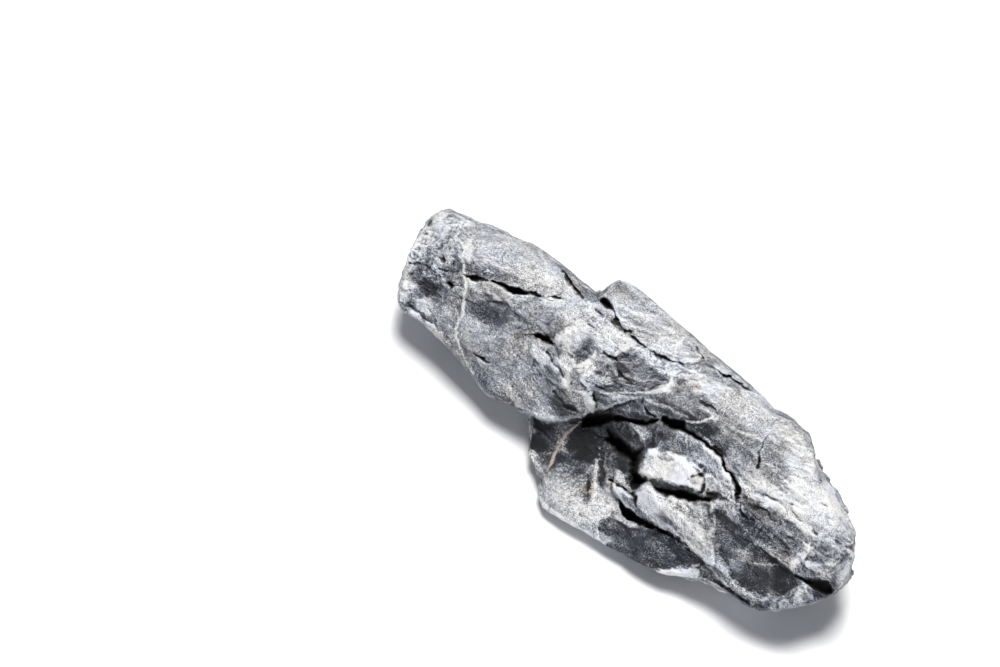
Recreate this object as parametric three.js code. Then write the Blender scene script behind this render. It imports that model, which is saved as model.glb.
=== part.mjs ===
// Seiryu stone: a long piece of grey limestone, lying on its back, as one solid.
// Millimetres, +Z up, +X along the stone towards its rounded nose. The origin is under the middle of
// the stone, on the surface that it lies on.
import * as THREE from 'three';
import { mergeVertices } from 'three/addons/utils/BufferGeometryUtils.js';

// ---- The face frame -------------------------------------------------------------------------------
// The best face looks up and to the front right, so its relief is set out on a tilted plane in front of
// it: s runs along the stone, t across it, and h stands out towards the eye of whoever looks at it.
const HEADING = THREE.MathUtils.degToRad(43);
const TILT = THREE.MathUtils.degToRad(56);
const ROLL = THREE.MathUtils.degToRad(37.7);
const EYE = { s: -63.6, t: -6.2, h: 992 };
const PLANE_HEIGHT = 31;
const SPINE_RISE = 0.4126;

const RIGHTWARD = new THREE.Vector3(Math.cos(HEADING), Math.sin(HEADING), 0);
const OUT = new THREE.Vector3(
  Math.sin(HEADING) * Math.cos(TILT),
  -Math.cos(HEADING) * Math.cos(TILT),
  Math.sin(TILT),
);
const UPWARD = new THREE.Vector3().crossVectors(OUT, RIGHTWARD);
const ALONG = RIGHTWARD.clone().multiplyScalar(Math.cos(ROLL)).addScaledVector(UPWARD, -Math.sin(ROLL));
const ACROSS = RIGHTWARD.clone().multiplyScalar(Math.sin(ROLL)).addScaledVector(UPWARD, Math.cos(ROLL));

// The point that stands h out from (s, t) on the plane, on the line to the eye, before the origin is moved.
function fromFace(s, t, h) {
  const lean = h / EYE.h;
  return new THREE.Vector3(0, 0, PLANE_HEIGHT)
    .addScaledVector(ALONG, s + (EYE.s - s) * lean)
    .addScaledVector(ACROSS, t + (EYE.t - t) * lean)
    .addScaledVector(OUT, h);
}

// ---- Small tools ----------------------------------------------------------------------------------
const clamp = THREE.MathUtils.clamp;
const smooth = THREE.MathUtils.smoothstep;

// Smooth noise from -1 to 1: a fixed scatter of values on a lattice of whole numbers, blended between.
function scatter(i, j, k) {
  const mixed = Math.sin(i * 127.1 + j * 311.7 + k * 74.7) * 43758.5453;
  return 2 * (mixed - Math.floor(mixed)) - 1;
}
function noise(x, y, z) {
  const [i, j, k] = [Math.floor(x), Math.floor(y), Math.floor(z)];
  const [a, b, c] = [smooth(x - i, 0, 1), smooth(y - j, 0, 1), smooth(z - k, 0, 1)];
  const row = (m, n) => THREE.MathUtils.lerp(scatter(i, m, n), scatter(i + 1, m, n), a);
  const sheet = (n) => THREE.MathUtils.lerp(row(j, n), row(j + 1, n), b);
  return THREE.MathUtils.lerp(sheet(k), sheet(k + 1), c);
}

// A value read off a line of [position, value] points.
function profile(points, x) {
  const last = points.length - 1;
  if (x <= points[0][0]) return points[0][1];
  if (x >= points[last][0]) return points[last][1];
  const i = points.findIndex((p) => p[0] > x);
  const [x0, y0] = points[i - 1];
  const [x1, y1] = points[i];
  return y0 + ((y1 - y0) * (x - x0)) / (x1 - x0);
}

// Where (s, t) lies by a stroke: how far off it, positive on its left, and how far along, 0 to 1.
function byStroke(stroke, s, t) {
  let best = { off: Infinity, u: 0 };
  const lengths = stroke.slice(1).map((p, i) => Math.hypot(p[0] - stroke[i][0], p[1] - stroke[i][1]));
  const total = lengths.reduce((a, b) => a + b, 0);
  let done = 0;
  lengths.forEach((length, i) => {
    const [s0, t0] = stroke[i];
    const ds = (stroke[i + 1][0] - s0) / length;
    const dt = (stroke[i + 1][1] - t0) / length;
    const run = clamp((s - s0) * ds + (t - t0) * dt, 0, length);
    const ps = s - s0 - ds * run;
    const pt = t - t0 - dt * run;
    const distance = Math.hypot(ps, pt);
    if (distance < Math.abs(best.off)) {
      const side = ds * (t - t0) - dt * (s - s0) >= 0 ? 1 : -1;
      best = { off: side * distance, u: (done + run) / total };
    }
    done += length;
  });
  return best;
}

// ---- The body -------------------------------------------------------------------------------------
const LEFT_END = { s: -114, closing: 12, power: 2.3, slant: 0.28 };
const RIGHT_END = { s: 116, closing: 24, power: 2, slant: -0.1 };
const TOP_EDGE = [
  [-117, 17], [-108, 22], [-103, 23.5], [-97, 25.8], [-84, 29.5], [-76, 31.5], [-60, 32.3], [-42, 31.3],
  [-40.5, 31.2], [-37.5, 40], [-32, 44.5], [-18, 44.3], [0, 42.6], [20, 41.6], [40, 40.6], [47, 38.6],
  [57, 40.6], [65, 40.4], [70, 37], [76, 31.2], [90, 25.8], [98, 23.4], [105, 21.5], [116, 14],
];
const BOTTOM_EDGE = [
  [-117, -20], [-108, -21.5], [-90, -22.8], [-75, -24.5], [-62, -27], [-52, -29.6], [-40, -27],
  [-31, -26], [-28, -31], [-22, -39.5], [-12, -45], [-9, -50.5], [-4, -53.5], [10, -52.3], [25, -50],
  [43, -46.3], [52, -43.8], [60, -39], [68, -35], [78, -33.6], [90, -32.5], [100, -28], [116, -16],
];
// The hidden half keeps to a simpler outline.
const TOP_BEHIND = [
  [-117, 15], [-100, 22], [-60, 28], [-20, 38], [40, 39], [75, 31], [100, 21], [116, 13],
];
const BOTTOM_BEHIND = [
  [-117, -16], [-90, -21], [-45, -22], [-27, -27], [-5, -44], [40, -42], [80, -32], [116, -16],
];
const FRONT = [[-117, 22], [-80, 28], [-40, 31], [0, 32], [50, 31], [85, 29], [116, 24]];
const BACK = [[-117, 24], [-80, 34], [-30, 46], [50, 46], [90, 36], [116, 24]];
const SECTION_POWER = 2.5;
const LEAST_FRONT = 8;

// ---- Cleaved facets -------------------------------------------------------------------------------
// Each facet is a plane that the face can't rise above: its height over the spine at (s, t), and its
// rise per millimetre along s and t.
const FRONT_FACETS = [
  { s: -75, t: 16, h: 28, along: 0.03, across: -0.5 },
  { s: -75, t: 0, h: 28, along: 0.03, across: 0.16 },
  { s: -75, t: -18, h: 23.5, along: 0.02, across: 1.1 },
  { s: -104, t: 4, h: 22, along: 0.9, across: -0.15 },
  { s: -40, t: 20, h: 28.5, along: 0.0, across: -0.55 },
  { s: -10, t: 27, h: 25, along: 0.05, across: -0.85 },
  { s: 40, t: 24, h: 26, along: -0.02, across: -0.75 },
  { s: 74, t: 16, h: 26, along: -0.18, across: -0.8 },
  { s: 60, t: 4, h: 29, along: -0.1, across: -0.1 },
  { s: 100, t: 8, h: 21, along: -0.9, across: -0.25 },
  { s: 98, t: -12, h: 19, along: -0.9, across: 0.4 },
  { s: 76, t: -12, h: 23, along: 0.02, across: 0.75 },
  { s: 20, t: 5, h: 30, along: 0, across: 0.14 },
  { s: -4, t: -34, h: 17, along: -0.1, across: 0.3 },
  { s: 0, t: -46, h: 12, along: -0.1, across: 1.1 },
  { s: 40, t: -36, h: 10.5, along: 0, across: 1.0 },
];

// ---- Relief ---------------------------------------------------------------------------------------
// A notch along a stroke: a steep wall on its left, and a ramp back up on its right.
function notch({ stroke, depth, wall = 2, ramp = 5 }, s, t) {
  const { off, u } = byStroke(stroke, s, t);
  const down = off > 0 ? 1 - smooth(off, 0, wall) : 1 - smooth(-off, 0, ramp);
  return -down * profile(depth, u);
}

// A step along a stroke: the rock on its right lies lower, and climbs back over a distance.
function step({ stroke, drop, edge = 2, fade = 20 }, s, t) {
  const { off, u } = byStroke(stroke, s, t);
  return -profile(drop, u) * smooth(-off, -edge, edge) * (1 - smooth(-off, edge, fade));
}

// A round swelling, or a hollow where rise is negative.
function swelling({ s: s0, t: t0, length, width, turn = 0, rise, power = 2 }, s, t) {
  const c = Math.cos(THREE.MathUtils.degToRad(turn));
  const n = Math.sin(THREE.MathUtils.degToRad(turn));
  const a = ((s - s0) * c + (t - t0) * n) / length;
  const b = ((t - t0) * c - (s - s0) * n) / width;
  return rise * Math.exp(-((a * a + b * b) ** (power / 2)));
}

const NOTCHES = [
  {
    stroke: [[-101, -1], [-90, 4], [-76, 10.5], [-66, 13.5], [-50, 21]],
    depth: [[0, 0], [0.25, 5], [0.65, 10], [1, 0]],
    wall: 2.6,
    ramp: 4,
  },
  {
    stroke: [[-109, -3], [-98, -3], [-90, -1]],
    depth: [[0, 3], [0.5, 4], [1, 0]],
    wall: 2.6,
    ramp: 4,
  },
  {
    stroke: [[-60, 30.5], [-52, 28.5], [-43, 26.5]],
    depth: [[0, 0], [0.4, 4], [1, 1]],
    wall: 2.6,
    ramp: 3,
  },
  {
    stroke: [[-52, 2], [-47, 3], [-42, 4.5]],
    depth: [[0, 2], [0.5, 5], [1, 2]],
    wall: 2.6,
    ramp: 3,
  },
  {
    stroke: [[-38, 32], [-31, 31], [-28, 28], [-18, 26.5], [-5, 27.5], [3, 30]],
    depth: [[0, 5], [0.2, 8], [0.6, 4], [1, 0]],
    wall: 2.6,
    ramp: 4,
  },
  {
    stroke: [[8, 39], [20, 36.5], [36, 39.5]],
    depth: [[0, 1], [0.5, 5], [1, 0]],
    wall: 2.6,
    ramp: 4,
  },
  {
    stroke: [[-15, -13], [-9, -6.5], [-1, -2.5], [5, 0.5], [12, 7], [20, 10], [41, 9.5], [60, -1]],
    depth: [[0, 5], [0.15, 14], [0.35, 14], [0.5, 9], [0.85, 6], [1, 0]],
    wall: 2.6,
    ramp: 6,
  },
  {
    stroke: [[16, -16], [24, -17.5], [30, -18.5], [42, -13.5], [52, -8]],
    depth: [[0, 7], [0.5, 10], [1, 0]],
    wall: 2.6,
    ramp: 4,
  },
  {
    stroke: [[17, -29], [24, -33], [36, -30.5], [66, -31]],
    depth: [[0, 3], [0.3, 8], [0.7, 4], [1, 0]],
    wall: 2.6,
    ramp: 7,
  },
  {
    stroke: [[93, -3], [102, -7], [108, -7.5], [118, -4]],
    depth: [[0, 0], [0.4, 6], [1, 6]],
    wall: 2.6,
    ramp: 5,
  },
  {
    stroke: [[51, 29], [53, 22], [56, 14]],
    depth: [[0, 0], [0.5, 3], [1, 0]],
    wall: 2.6,
    ramp: 3,
  },
  {
    stroke: [[-20, 14], [-12, 11], [-2, 11.5]],
    depth: [[0, 2], [0.4, 6], [1, 0]],
    wall: 7,
    ramp: 2.6,
  },
];
const STEPS = [
  {
    stroke: [[-34, -28], [-24, -22], [-18, -18], [-14, -11]],
    drop: [[0, 6], [1, 9]],
    edge: 2.6,
    fade: 30,
  },
  {
    stroke: [[44, 12], [58, 2], [74, 4], [94, 2]],
    drop: [[0, 0], [0.3, 2], [0.8, 4], [1, 0]],
    edge: 2.6,
    fade: 25,
  },
  {
    stroke: [[22, -23], [38, -22], [52, -26], [66, -31]],
    drop: [[0, 0], [0.3, 3], [1, 0]],
    edge: 2.6,
    fade: 12,
  },
  {
    stroke: [[-46, 22], [-30, 18], [-20, 15], [-14, 22], [4, 23]],
    drop: [[0, 0], [0.4, 2], [1, 1]],
    edge: 2.6,
    fade: 9,
  },
];
const SWELLINGS = [
  { s: -72, t: -4, length: 20, width: 5, turn: 6, rise: -4.5 },
  { s: -98, t: -8, length: 9, width: 5, turn: 20, rise: -3.5 },
  { s: -106, t: 12, length: 9, width: 9, rise: 2.5 },
  { s: -37, t: 10, length: 9, width: 8, rise: 4.5, power: 4 },
    { s: -26, t: 3, length: 7, width: 6, rise: 2 },
  { s: -2, t: -12, length: 13, width: 7, turn: -5, rise: -13, power: 3 },
  { s: 13, t: -13, length: 7, width: 7, turn: -30, rise: -12, power: 3 },
  { s: 21, t: -21, length: 4, width: 4, rise: -6 },
  { s: -8, t: -23, length: 11, width: 8, rise: -4 },
  { s: 31, t: -8, length: 13, width: 6.5, turn: 8, rise: 7, power: 4 },
  { s: 40, t: -4.5, length: 4, width: 2.5, turn: -20, rise: -4 },
  { s: -8, t: 17, length: 11, width: 4.5, turn: 8, rise: -2.5, power: 4 },
  { s: 38, t: -21.5, length: 24, width: 4, turn: -4, rise: 6 },
  { s: 82, t: -29, length: 18, width: 3.5, turn: -3, rise: 4 },
  { s: 76, t: -14, length: 16, width: 8, turn: -8, rise: -4 },
  { s: 4, t: -40, length: 9, width: 8, rise: 2.5 },
  { s: 62, t: 33, length: 12, width: 7, rise: 2.5 },
  { s: 102, t: 8, length: 7, width: 9, rise: 3, power: 3 },
  { s: 103, t: -17, length: 5, width: 7, rise: 3, power: 3 },
];

// The beds of the rock weather back in shallow terraces that run nearly along it.
const BED = { thickness: 12, dip: -0.12, waviness: 4, rise: 1.8 };
function terraces(s, t) {
  const bed = (t + BED.dip * s + BED.waviness * noise(s / 42, t / 25, 4.2)) / BED.thickness;
  const part = bed - Math.floor(bed);
  const strength = clamp(0.55 + noise(s / 45, t / 30, 8.7), 0, 1);
  return BED.rise * strength * (smooth(part, 0, 0.25) - part);
}

function relief(s, t) {
  let rise = 0;
  for (const n of NOTCHES) rise += notch(n, s, t);
  for (const n of STEPS) rise += step(n, s, t);
  for (const w of SWELLINGS) rise += swelling(w, s, t);
  return rise + terraces(s, t);
}

// The hidden sides are cleaved too: each plane passes through a point and faces a yaw from +Y towards
// +X and an elevation above the horizon, both in degrees.
const HIDDEN_FACETS = [
  { at: [-86, 28, 45], yaw: -12, elevation: 12 },
  { at: [-60, 30, 20], yaw: -4, elevation: -20 },
  { at: [0, 40, 51], yaw: 2, elevation: 10 },
  { at: [20, 38, 14], yaw: 10, elevation: -30 },
  { at: [81, 30, 45], yaw: 20, elevation: 4 },
  { at: [98, 20, 16], yaw: 40, elevation: -25 },
  { at: [112, -4, 10], yaw: 100, elevation: -35 },
  { at: [85, -28, 6], yaw: 150, elevation: -36 },
  { at: [0, -45, 4], yaw: 180, elevation: -50 },
  { at: [-80, -18, 9], yaw: 215, elevation: -38 },
  { at: [-116, 2, 14], yaw: -75, elevation: -28 },
].map(({ at, yaw, elevation }) => {
  const turn = THREE.MathUtils.degToRad(yaw);
  const tip = THREE.MathUtils.degToRad(elevation);
  const level = Math.cos(tip);
  const normal = new THREE.Vector3(Math.sin(turn) * level, Math.cos(turn) * level, Math.sin(tip));
  return new THREE.Plane().setFromNormalAndCoplanarPoint(normal, new THREE.Vector3(...at));
});

// Draws a point that stands out of a hidden facet back onto it.
function cleave(point) {
  for (const facet of HIDDEN_FACETS) {
    point.addScaledVector(facet.normal, -Math.max(0, facet.distanceToPoint(point)));
  }
  return point;
}

// Uneven rock: a few sizes of noise, drawn out along the bedding.
const GRAINS = [
  { size: 40, rise: 3, wander: 1.2 },
  { size: 17, rise: 1.7, wander: 1.2 },
  { size: 8, rise: 0.9, wander: 0.8 },
];
const STRETCH = 0.6;
function unevenness(s, t, h) {
  const sum = { s: 0, t: 0, h: 0 };
  GRAINS.forEach(({ size, rise, wander }, i) => {
    const [a, b, c] = [(s / size) * STRETCH + 7.3 * i, t / size + 3.1, h / size + 1.7];
    sum.h += rise * noise(a, b, c);
    sum.s += wander * noise(a + 31.7, b, c);
    sum.t += wander * noise(a, b + 47.3, c);
  });
  return sum;
}

// The underside rests on a few flat patches, and clears the ground between them.
function underside(x, y) {
  return Math.max(0, 4 * noise(x / 30, y / 18, 9.5) - 0.4);
}

// ---- The solid ------------------------------------------------------------------------------------
const COLUMNS = 70;
const ROWS = 25;
const LAYERS = 7;

// The face coordinates of a point of the block, whose faces run from -1 to 1.
function carve(x, y, z) {
  const round = Math.max(Math.abs(y), Math.abs(z));
  const end = x < 0 ? LEFT_END : RIGHT_END;
  const corner = 0.5 ** (1 / end.power);
  let ring = 1;
  let inset;
  if (Math.abs(x) > 1 - 1e-6) {
    ring = round * corner;
    inset = end.closing * (1 - (1 - ring ** end.power) ** (1 / end.power));
  } else {
    const insetEdge = [LEFT_END, RIGHT_END].map((e) => e.closing * (1 - 0.5 ** (1 / e.power)));
    const flat = THREE.MathUtils.mapLinear(x, -1, 1, LEFT_END.s + insetEdge[0], RIGHT_END.s - insetEdge[1]);
    inset = Math.abs(flat - end.s);
    if (inset < end.closing) ring = (1 - (1 - inset / end.closing) ** end.power) ** (1 / end.power);
  }
  let s = end.s - Math.sign(end.s) * inset;

  // Square to round.
  const u = round > 0 ? y / round : 0;
  const v = round > 0 ? z / round : 0;
  const bow = 2 / SECTION_POWER;
  const c = u * Math.sqrt(1 - (v * v) / 2);
  const n = v * Math.sqrt(1 - (u * u) / 2);
  const cosine = Math.sign(c) * Math.abs(c) ** bow * ring;
  const sine = Math.sign(n) * Math.abs(n) ** bow * ring;

  const behind = smooth(-sine, 0, 0.3);
  const top = THREE.MathUtils.lerp(profile(TOP_EDGE, s), profile(TOP_BEHIND, s), behind);
  const bottom = THREE.MathUtils.lerp(profile(BOTTOM_EDGE, s), profile(BOTTOM_BEHIND, s), behind);
  const t = (top + bottom) / 2 + ((top - bottom) / 2) * cosine;
  const spine = SPINE_RISE * s;
  s -= end.slant * (t - (top + bottom) / 2) * (1 - smooth(inset, 0, 2 * end.closing));
  if (sine <= 0) return { s, t, h: spine + profile(BACK, s) * sine, behind };

  let height = profile(FRONT, s) * sine;
  for (const f of FRONT_FACETS) {
    const plane = f.h + f.along * (s - f.s) + f.across * (t - f.t);
    height = Math.min(height, Math.max(plane, LEAST_FRONT * sine));
  }
  return { s, t, h: spine + height + relief(s, t) * smooth(sine, 0.05, 0.4), behind };
}

// Each four-cornered cell of the block is split along its shorter diagonal, so creases stay clean.
function splitAcrossShortest(geometry) {
  const at = geometry.getAttribute('position');
  const index = geometry.getIndex();
  const corner = (i) => new THREE.Vector3().fromBufferAttribute(at, index.getX(i));
  for (let i = 0; i < index.count; i += 6) {
    if (corner(i).distanceTo(corner(i + 4)) < corner(i + 1).distanceTo(corner(i + 2))) {
      index.setX(i + 2, index.getX(i + 4));
      index.setX(i + 3, index.getX(i));
    }
  }
}

function stoneGeometry() {
  const block = new THREE.BoxGeometry(2, 2, 2, COLUMNS, ROWS, LAYERS);
  block.deleteAttribute('normal');
  block.deleteAttribute('uv');
  const geometry = mergeVertices(block, 1e-4);
  const at = geometry.getAttribute('position');
  for (let i = 0; i < at.count; i++) {
    const { s, t, h, behind } = carve(at.getX(i), at.getY(i), at.getZ(i));
    const more = unevenness(s, t, h);
    const p = cleave(fromFace(s, t, h));
    p.addScaledVector(OUT, more.h);
    p.addScaledVector(ALONG, more.s * behind);
    p.addScaledVector(ACROSS, more.t * behind);
    p.z = Math.max(p.z, underside(p.x, p.y));
    at.setXYZ(i, p.x, p.y, p.z);
  }
  splitAcrossShortest(geometry);

  // The origin goes under the middle of the stone.
  const middle = new THREE.Box3().setFromBufferAttribute(at).getCenter(new THREE.Vector3());
  return geometry.translate(-middle.x, -middle.y, 0);
}

const stone = new THREE.Mesh(
  stoneGeometry(),
  new THREE.MeshStandardMaterial({ color: 0x6f7276, roughness: 0.85, metalness: 0 }),
);
stone.name = 'stone';

const part = new THREE.Group();
part.add(stone);
export default part;
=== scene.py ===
# %% [markdown]
# # A seiryu stone
# Seiryu stone is a blue-grey limestone used in aquariums and miniature landscapes. Rain and soil water
# eat into it, so it has deep cracks, scooped hollows and sharp ledges, and white calcite fills its old
# fractures. This lesson builds one long piece, lying on its back, and dresses it in its weathered skin.
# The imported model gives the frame, its size and the plain solid that the detailed stone replaces.

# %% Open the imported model
import itertools
import math

import bpy
import numpy as np
from mathutils import Matrix, Vector


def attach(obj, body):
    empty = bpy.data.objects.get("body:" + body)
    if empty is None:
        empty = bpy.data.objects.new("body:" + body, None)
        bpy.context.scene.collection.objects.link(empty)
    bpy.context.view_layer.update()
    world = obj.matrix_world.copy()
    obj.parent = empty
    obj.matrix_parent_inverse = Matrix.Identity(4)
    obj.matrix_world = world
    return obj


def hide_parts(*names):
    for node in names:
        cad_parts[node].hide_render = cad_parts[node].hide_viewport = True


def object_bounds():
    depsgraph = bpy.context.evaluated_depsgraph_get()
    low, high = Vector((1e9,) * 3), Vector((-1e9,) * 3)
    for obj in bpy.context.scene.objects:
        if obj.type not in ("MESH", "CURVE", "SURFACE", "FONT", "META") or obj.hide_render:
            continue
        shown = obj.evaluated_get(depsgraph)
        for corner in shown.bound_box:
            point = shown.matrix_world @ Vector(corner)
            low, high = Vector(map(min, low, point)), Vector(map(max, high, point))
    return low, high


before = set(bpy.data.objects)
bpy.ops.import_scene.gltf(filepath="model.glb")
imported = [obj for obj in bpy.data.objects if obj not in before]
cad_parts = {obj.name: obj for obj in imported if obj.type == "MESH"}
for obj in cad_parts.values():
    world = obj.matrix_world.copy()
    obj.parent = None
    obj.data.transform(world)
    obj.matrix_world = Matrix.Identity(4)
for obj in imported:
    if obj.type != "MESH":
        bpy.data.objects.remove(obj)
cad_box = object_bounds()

print("the solid reaches from", cad_box[0], "to", cad_box[1])

# %% [markdown]
# ## The face frame
# A rock has no drawing, but its best face can be read like a map. The forms could be set out straight in
# x, y and z, but then each would have to be worked out on the slant. So all of them are set out in
# millimetres on a tilted plane: s runs along the stone, t across it, and h stands out from it towards
# whoever looks at that face. One function turns such a place into a point of the model.

# %% The tilted plane
HEADING, TILT, ROLL = np.radians([43.0, 56.0, 37.7])
# where the one who looks at the face stands, on the plane and out from it
EYE_S, EYE_T, EYE_H = -63.6, -6.2, 992.0
PLANE_HEIGHT = 31.0
# how much the stone's axis climbs out of the plane for each millimetre along it
SPINE_RISE = 0.4126
# the middle of the solid's box in plan, which is the model's origin
MIDDLE = np.array([-4.078, -3.568, 0.0])

rightward = np.array([math.cos(HEADING), math.sin(HEADING), 0.0])
outward = np.array([math.sin(HEADING) * math.cos(TILT), -math.cos(HEADING) * math.cos(TILT), math.sin(TILT)])
upward = np.cross(outward, rightward)
along = rightward * math.cos(ROLL) - upward * math.sin(ROLL)
across = rightward * math.sin(ROLL) + upward * math.cos(ROLL)


def from_face(s, t, h):
    lean = h / EYE_H
    return (np.outer(s + (EYE_S - s) * lean, along) + np.outer(t + (EYE_T - t) * lean, across)
            + np.outer(h, outward) + np.array([0, 0, PLANE_HEIGHT]))


def onto_face(points):
    from_plane = points - np.array([0, 0, PLANE_HEIGHT])
    h = from_plane @ outward
    lean = h / EYE_H
    s = (from_plane @ along - EYE_S * lean) / (1 - lean)
    t = (from_plane @ across - EYE_T * lean) / (1 - lean)
    return s, t, h


print("the face looks towards", outward.round(3), "and the stone runs along", along.round(3))

# %% [markdown]
# ## Noise
# Natural unevenness comes from noise: random values on a lattice, blended smoothly between. Blender's
# own noise would do, but it works on one point at a time, and here every point of the stone is worked
# on at once with numpy. The same sine-based scatter makes the plain solid, so both share their bumps.
# Rock also breaks in cells, each with its own shaken middle: bowls, flat flakes and round pits.

# %% Smooth noise
def smooth(x, low, high):
    part = np.clip((x - low) / (high - low), 0, 1)
    return part * part * (3 - 2 * part)


def scatter(i, j, k):
    mixed = np.sin(i * 127.1 + j * 311.7 + k * 74.7) * 43758.5453
    return 2 * (mixed - np.floor(mixed)) - 1


def noise(x, y, z):
    x, y, z = np.broadcast_arrays(x, y, z)
    i, j, k = np.floor(x), np.floor(y), np.floor(z)
    a, b, c = smooth(x - i, 0, 1), smooth(y - j, 0, 1), smooth(z - k, 0, 1)
    value = np.zeros(x.shape)
    for m, n, o in itertools.product((0, 1), repeat=3):
        weight = (a if m else 1 - a) * (b if n else 1 - b) * (c if o else 1 - c)
        value += weight * scatter(i + m, j + n, k + o)
    return value


print("noise along a line:", noise(np.arange(0, 2, 0.25), 0.5, 0.5).round(2))


# %% Scoops and flakes
def cells_near(x, y, z, seed):
    """Each rock cell near a place: its three numbers, and how far the place is from its shaken middle."""
    i, j, k = np.floor(x), np.floor(y), np.floor(z)
    for m, n, o in itertools.product((-1, 0, 1), repeat=3):
        ci, cj, ck = i + m + seed, j + n, k + o
        dx = x - i - m - 0.5 - 0.4 * scatter(ci, cj, ck)
        dy = y - j - n - 0.5 - 0.4 * scatter(cj, ck, ci)
        dz = z - k - o - 0.5 - 0.4 * scatter(ck, ci, cj)
        yield ci, cj, ck, dx, dy, dx * dx + dy * dy + dz * dz


def scoops(x, y, z, seed):
    """Shallow bowls that meet in sharp ridges: 0 at a bowl's middle, near 1 on the ridges."""
    lowest = np.full(x.shape, np.inf)
    for ci, cj, ck, dx, dy, gap in cells_near(x, y, z, seed):
        lean = 0.5 * scatter(ci + 9, cj, ck) * dx + 0.5 * scatter(ci, cj + 9, ck) * dy
        lowest = np.minimum(lowest, gap + lean)
    return lowest


def flakes(x, y, z, seed):
    """Flat faces that meet in small steps, as on broken rock: each cell has its own height and tilt."""
    nearest, second = np.full(x.shape, np.inf), np.full(x.shape, np.inf)
    height, other = np.zeros(x.shape), np.zeros(x.shape)
    for ci, cj, ck, dx, dy, gap in cells_near(x, y, z, seed):
        tilted = 0.7 * scatter(ci, cj + 9, ck) * dx + 0.9 * scatter(ci, cj, ck + 9) * dy
        value = 0.4 * scatter(ci + 9, cj, ck) + tilted
        closer, next_one = gap < nearest, gap < second
        other = np.where(closer, height, np.where(next_one, value, other))
        second = np.where(closer, nearest, np.where(next_one, gap, second))
        height, nearest = np.where(closer, value, height), np.where(closer, gap, nearest)
    share = 0.5 + 0.5 * smooth(second - nearest, 0, 0.1)
    return height * share + other * (1 - share)


walk = np.arange(0, 2, 0.25)
print("scoops along a line:", scoops(walk, walk, walk, 0).round(2))
print("flakes along a line:", flakes(walk, walk, walk, 0).round(2))


# %% Pits, and noise in layers
def pits(x, y, z, seed, share):
    """Small round holes in a share of the cells: 1 at a hole's middle, 0 outside it."""
    deepest = np.zeros(x.shape)
    for ci, cj, ck, _, _, gap in cells_near(x, y, z, seed):
        radius = 0.3 + 0.12 * scatter(ci, ck + 5, cj)
        hole = 1 - smooth(np.sqrt(gap), radius * 0.3, radius)
        deepest = np.maximum(deepest, np.where(scatter(ck, cj + 3, ci) < 2 * share - 1, hole, 0))
    return deepest


def wandering(start, x, y, z, layers):
    """Adds noise to a value, layer by layer: how much, how long and wide its waves are, which noise."""
    for amount, length, width, seed in layers:
        start = start + amount * noise(x / length, y / width, z / width + seed)
    return start


print("the noise runs through", wandering(0, np.arange(6), 0.5, 0.5, [(1, 9, 6, 2), (0.5, 3, 2, 7)]).round(2))

# %% [markdown]
# ## The body
# The stone starts as a block whose skin is a fine net of points. A subdivided sphere would do, but would
# crowd its points at the ends of so long a stone. The net is wrapped round: its section is a rounded box
# between a top edge and a bottom edge, and it closes at both ends. Flat planes then cleave it, as
# limestone breaks along flat faces. The values are those of the plain solid.

# %% The body's outline
# left end, right end: where each is, over how many mm it closes, how bluntly, and how far it slants
ENDS = {"s": (-114.2, 116.0), "closing": (8.5, 24.0), "power": (2.7, 2.0), "slant": (0.36, -0.1)}
TOP_EDGE = [
    (-118, 9), (-114, 16.4), (-110, 20), (-106, 22.4), (-102, 24.2), (-97, 25.8), (-84, 29.5), (-76, 31.5),
    (-60, 32.3), (-42, 31.3), (-40, 31.3), (-39, 40.6), (-38, 43), (-34, 45), (-18, 44.3), (0, 42.6),
    (20, 41.6), (40, 40.6), (47, 38.6), (57, 40.6), (65, 40.4), (70, 37), (76, 31.2), (90, 25.8),
    (98, 23.4), (105, 21.5), (116, 14),
]
BOTTOM_EDGE = [
    (-117, -27), (-108, -25), (-100, -23.6), (-90, -22.8), (-75, -24.5), (-62, -27), (-52, -29.6), (-40, -27),
    (-31, -26), (-28, -31), (-22, -39.5), (-12, -45), (-9, -50.5), (-4, -53.5), (10, -52.3), (25, -50),
    (43, -46.3), (52, -43.8), (60, -39), (68, -35), (78, -33.6), (90, -33), (100, -30), (116, -20),
]
TOP_BEHIND = [(-117, 15), (-100, 22), (-60, 28), (-20, 38), (40, 39), (75, 31), (100, 21), (116, 13)]
BOTTOM_BEHIND = [(-117, -16), (-90, -21), (-45, -22), (-27, -27), (-5, -44), (40, -42), (80, -32), (116, -16)]
FRONT = [(-117, 22), (-80, 28), (-40, 31), (0, 32), (50, 31), (85, 29), (116, 24)]
BACK = [(-117, 24), (-80, 34), (-30, 46), (50, 46), (90, 36), (116, 24)]
# how square the section is: 2 is round, and more is squarer
SECTION_POWER = 2.5
# how far the face stands out at the least, however deep a facet cuts
LEAST_FRONT = 8.0
# Beside the slab's left end the face stays as full as it is under the slab.
SHOULDER = {"middle": 7.3, "half": 33.3, "fades_in": (-72, -48), "ends": -39.5}
# The rows of the net pass under the slab's corner on this gentler edge; only the outer ones stretch to it.
ROWS_EDGE = [(-60, 32.3), (-42, 31.6), (-8, 43.4)]
OUTER_ROWS = 21.0


def profile(points, x):
    xs, ys = zip(*points)
    return np.interp(x, xs, ys)


print("at the middle the stone reaches from t =", profile(BOTTOM_EDGE, 0), "to", profile(TOP_EDGE, 0), "mm")

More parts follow.
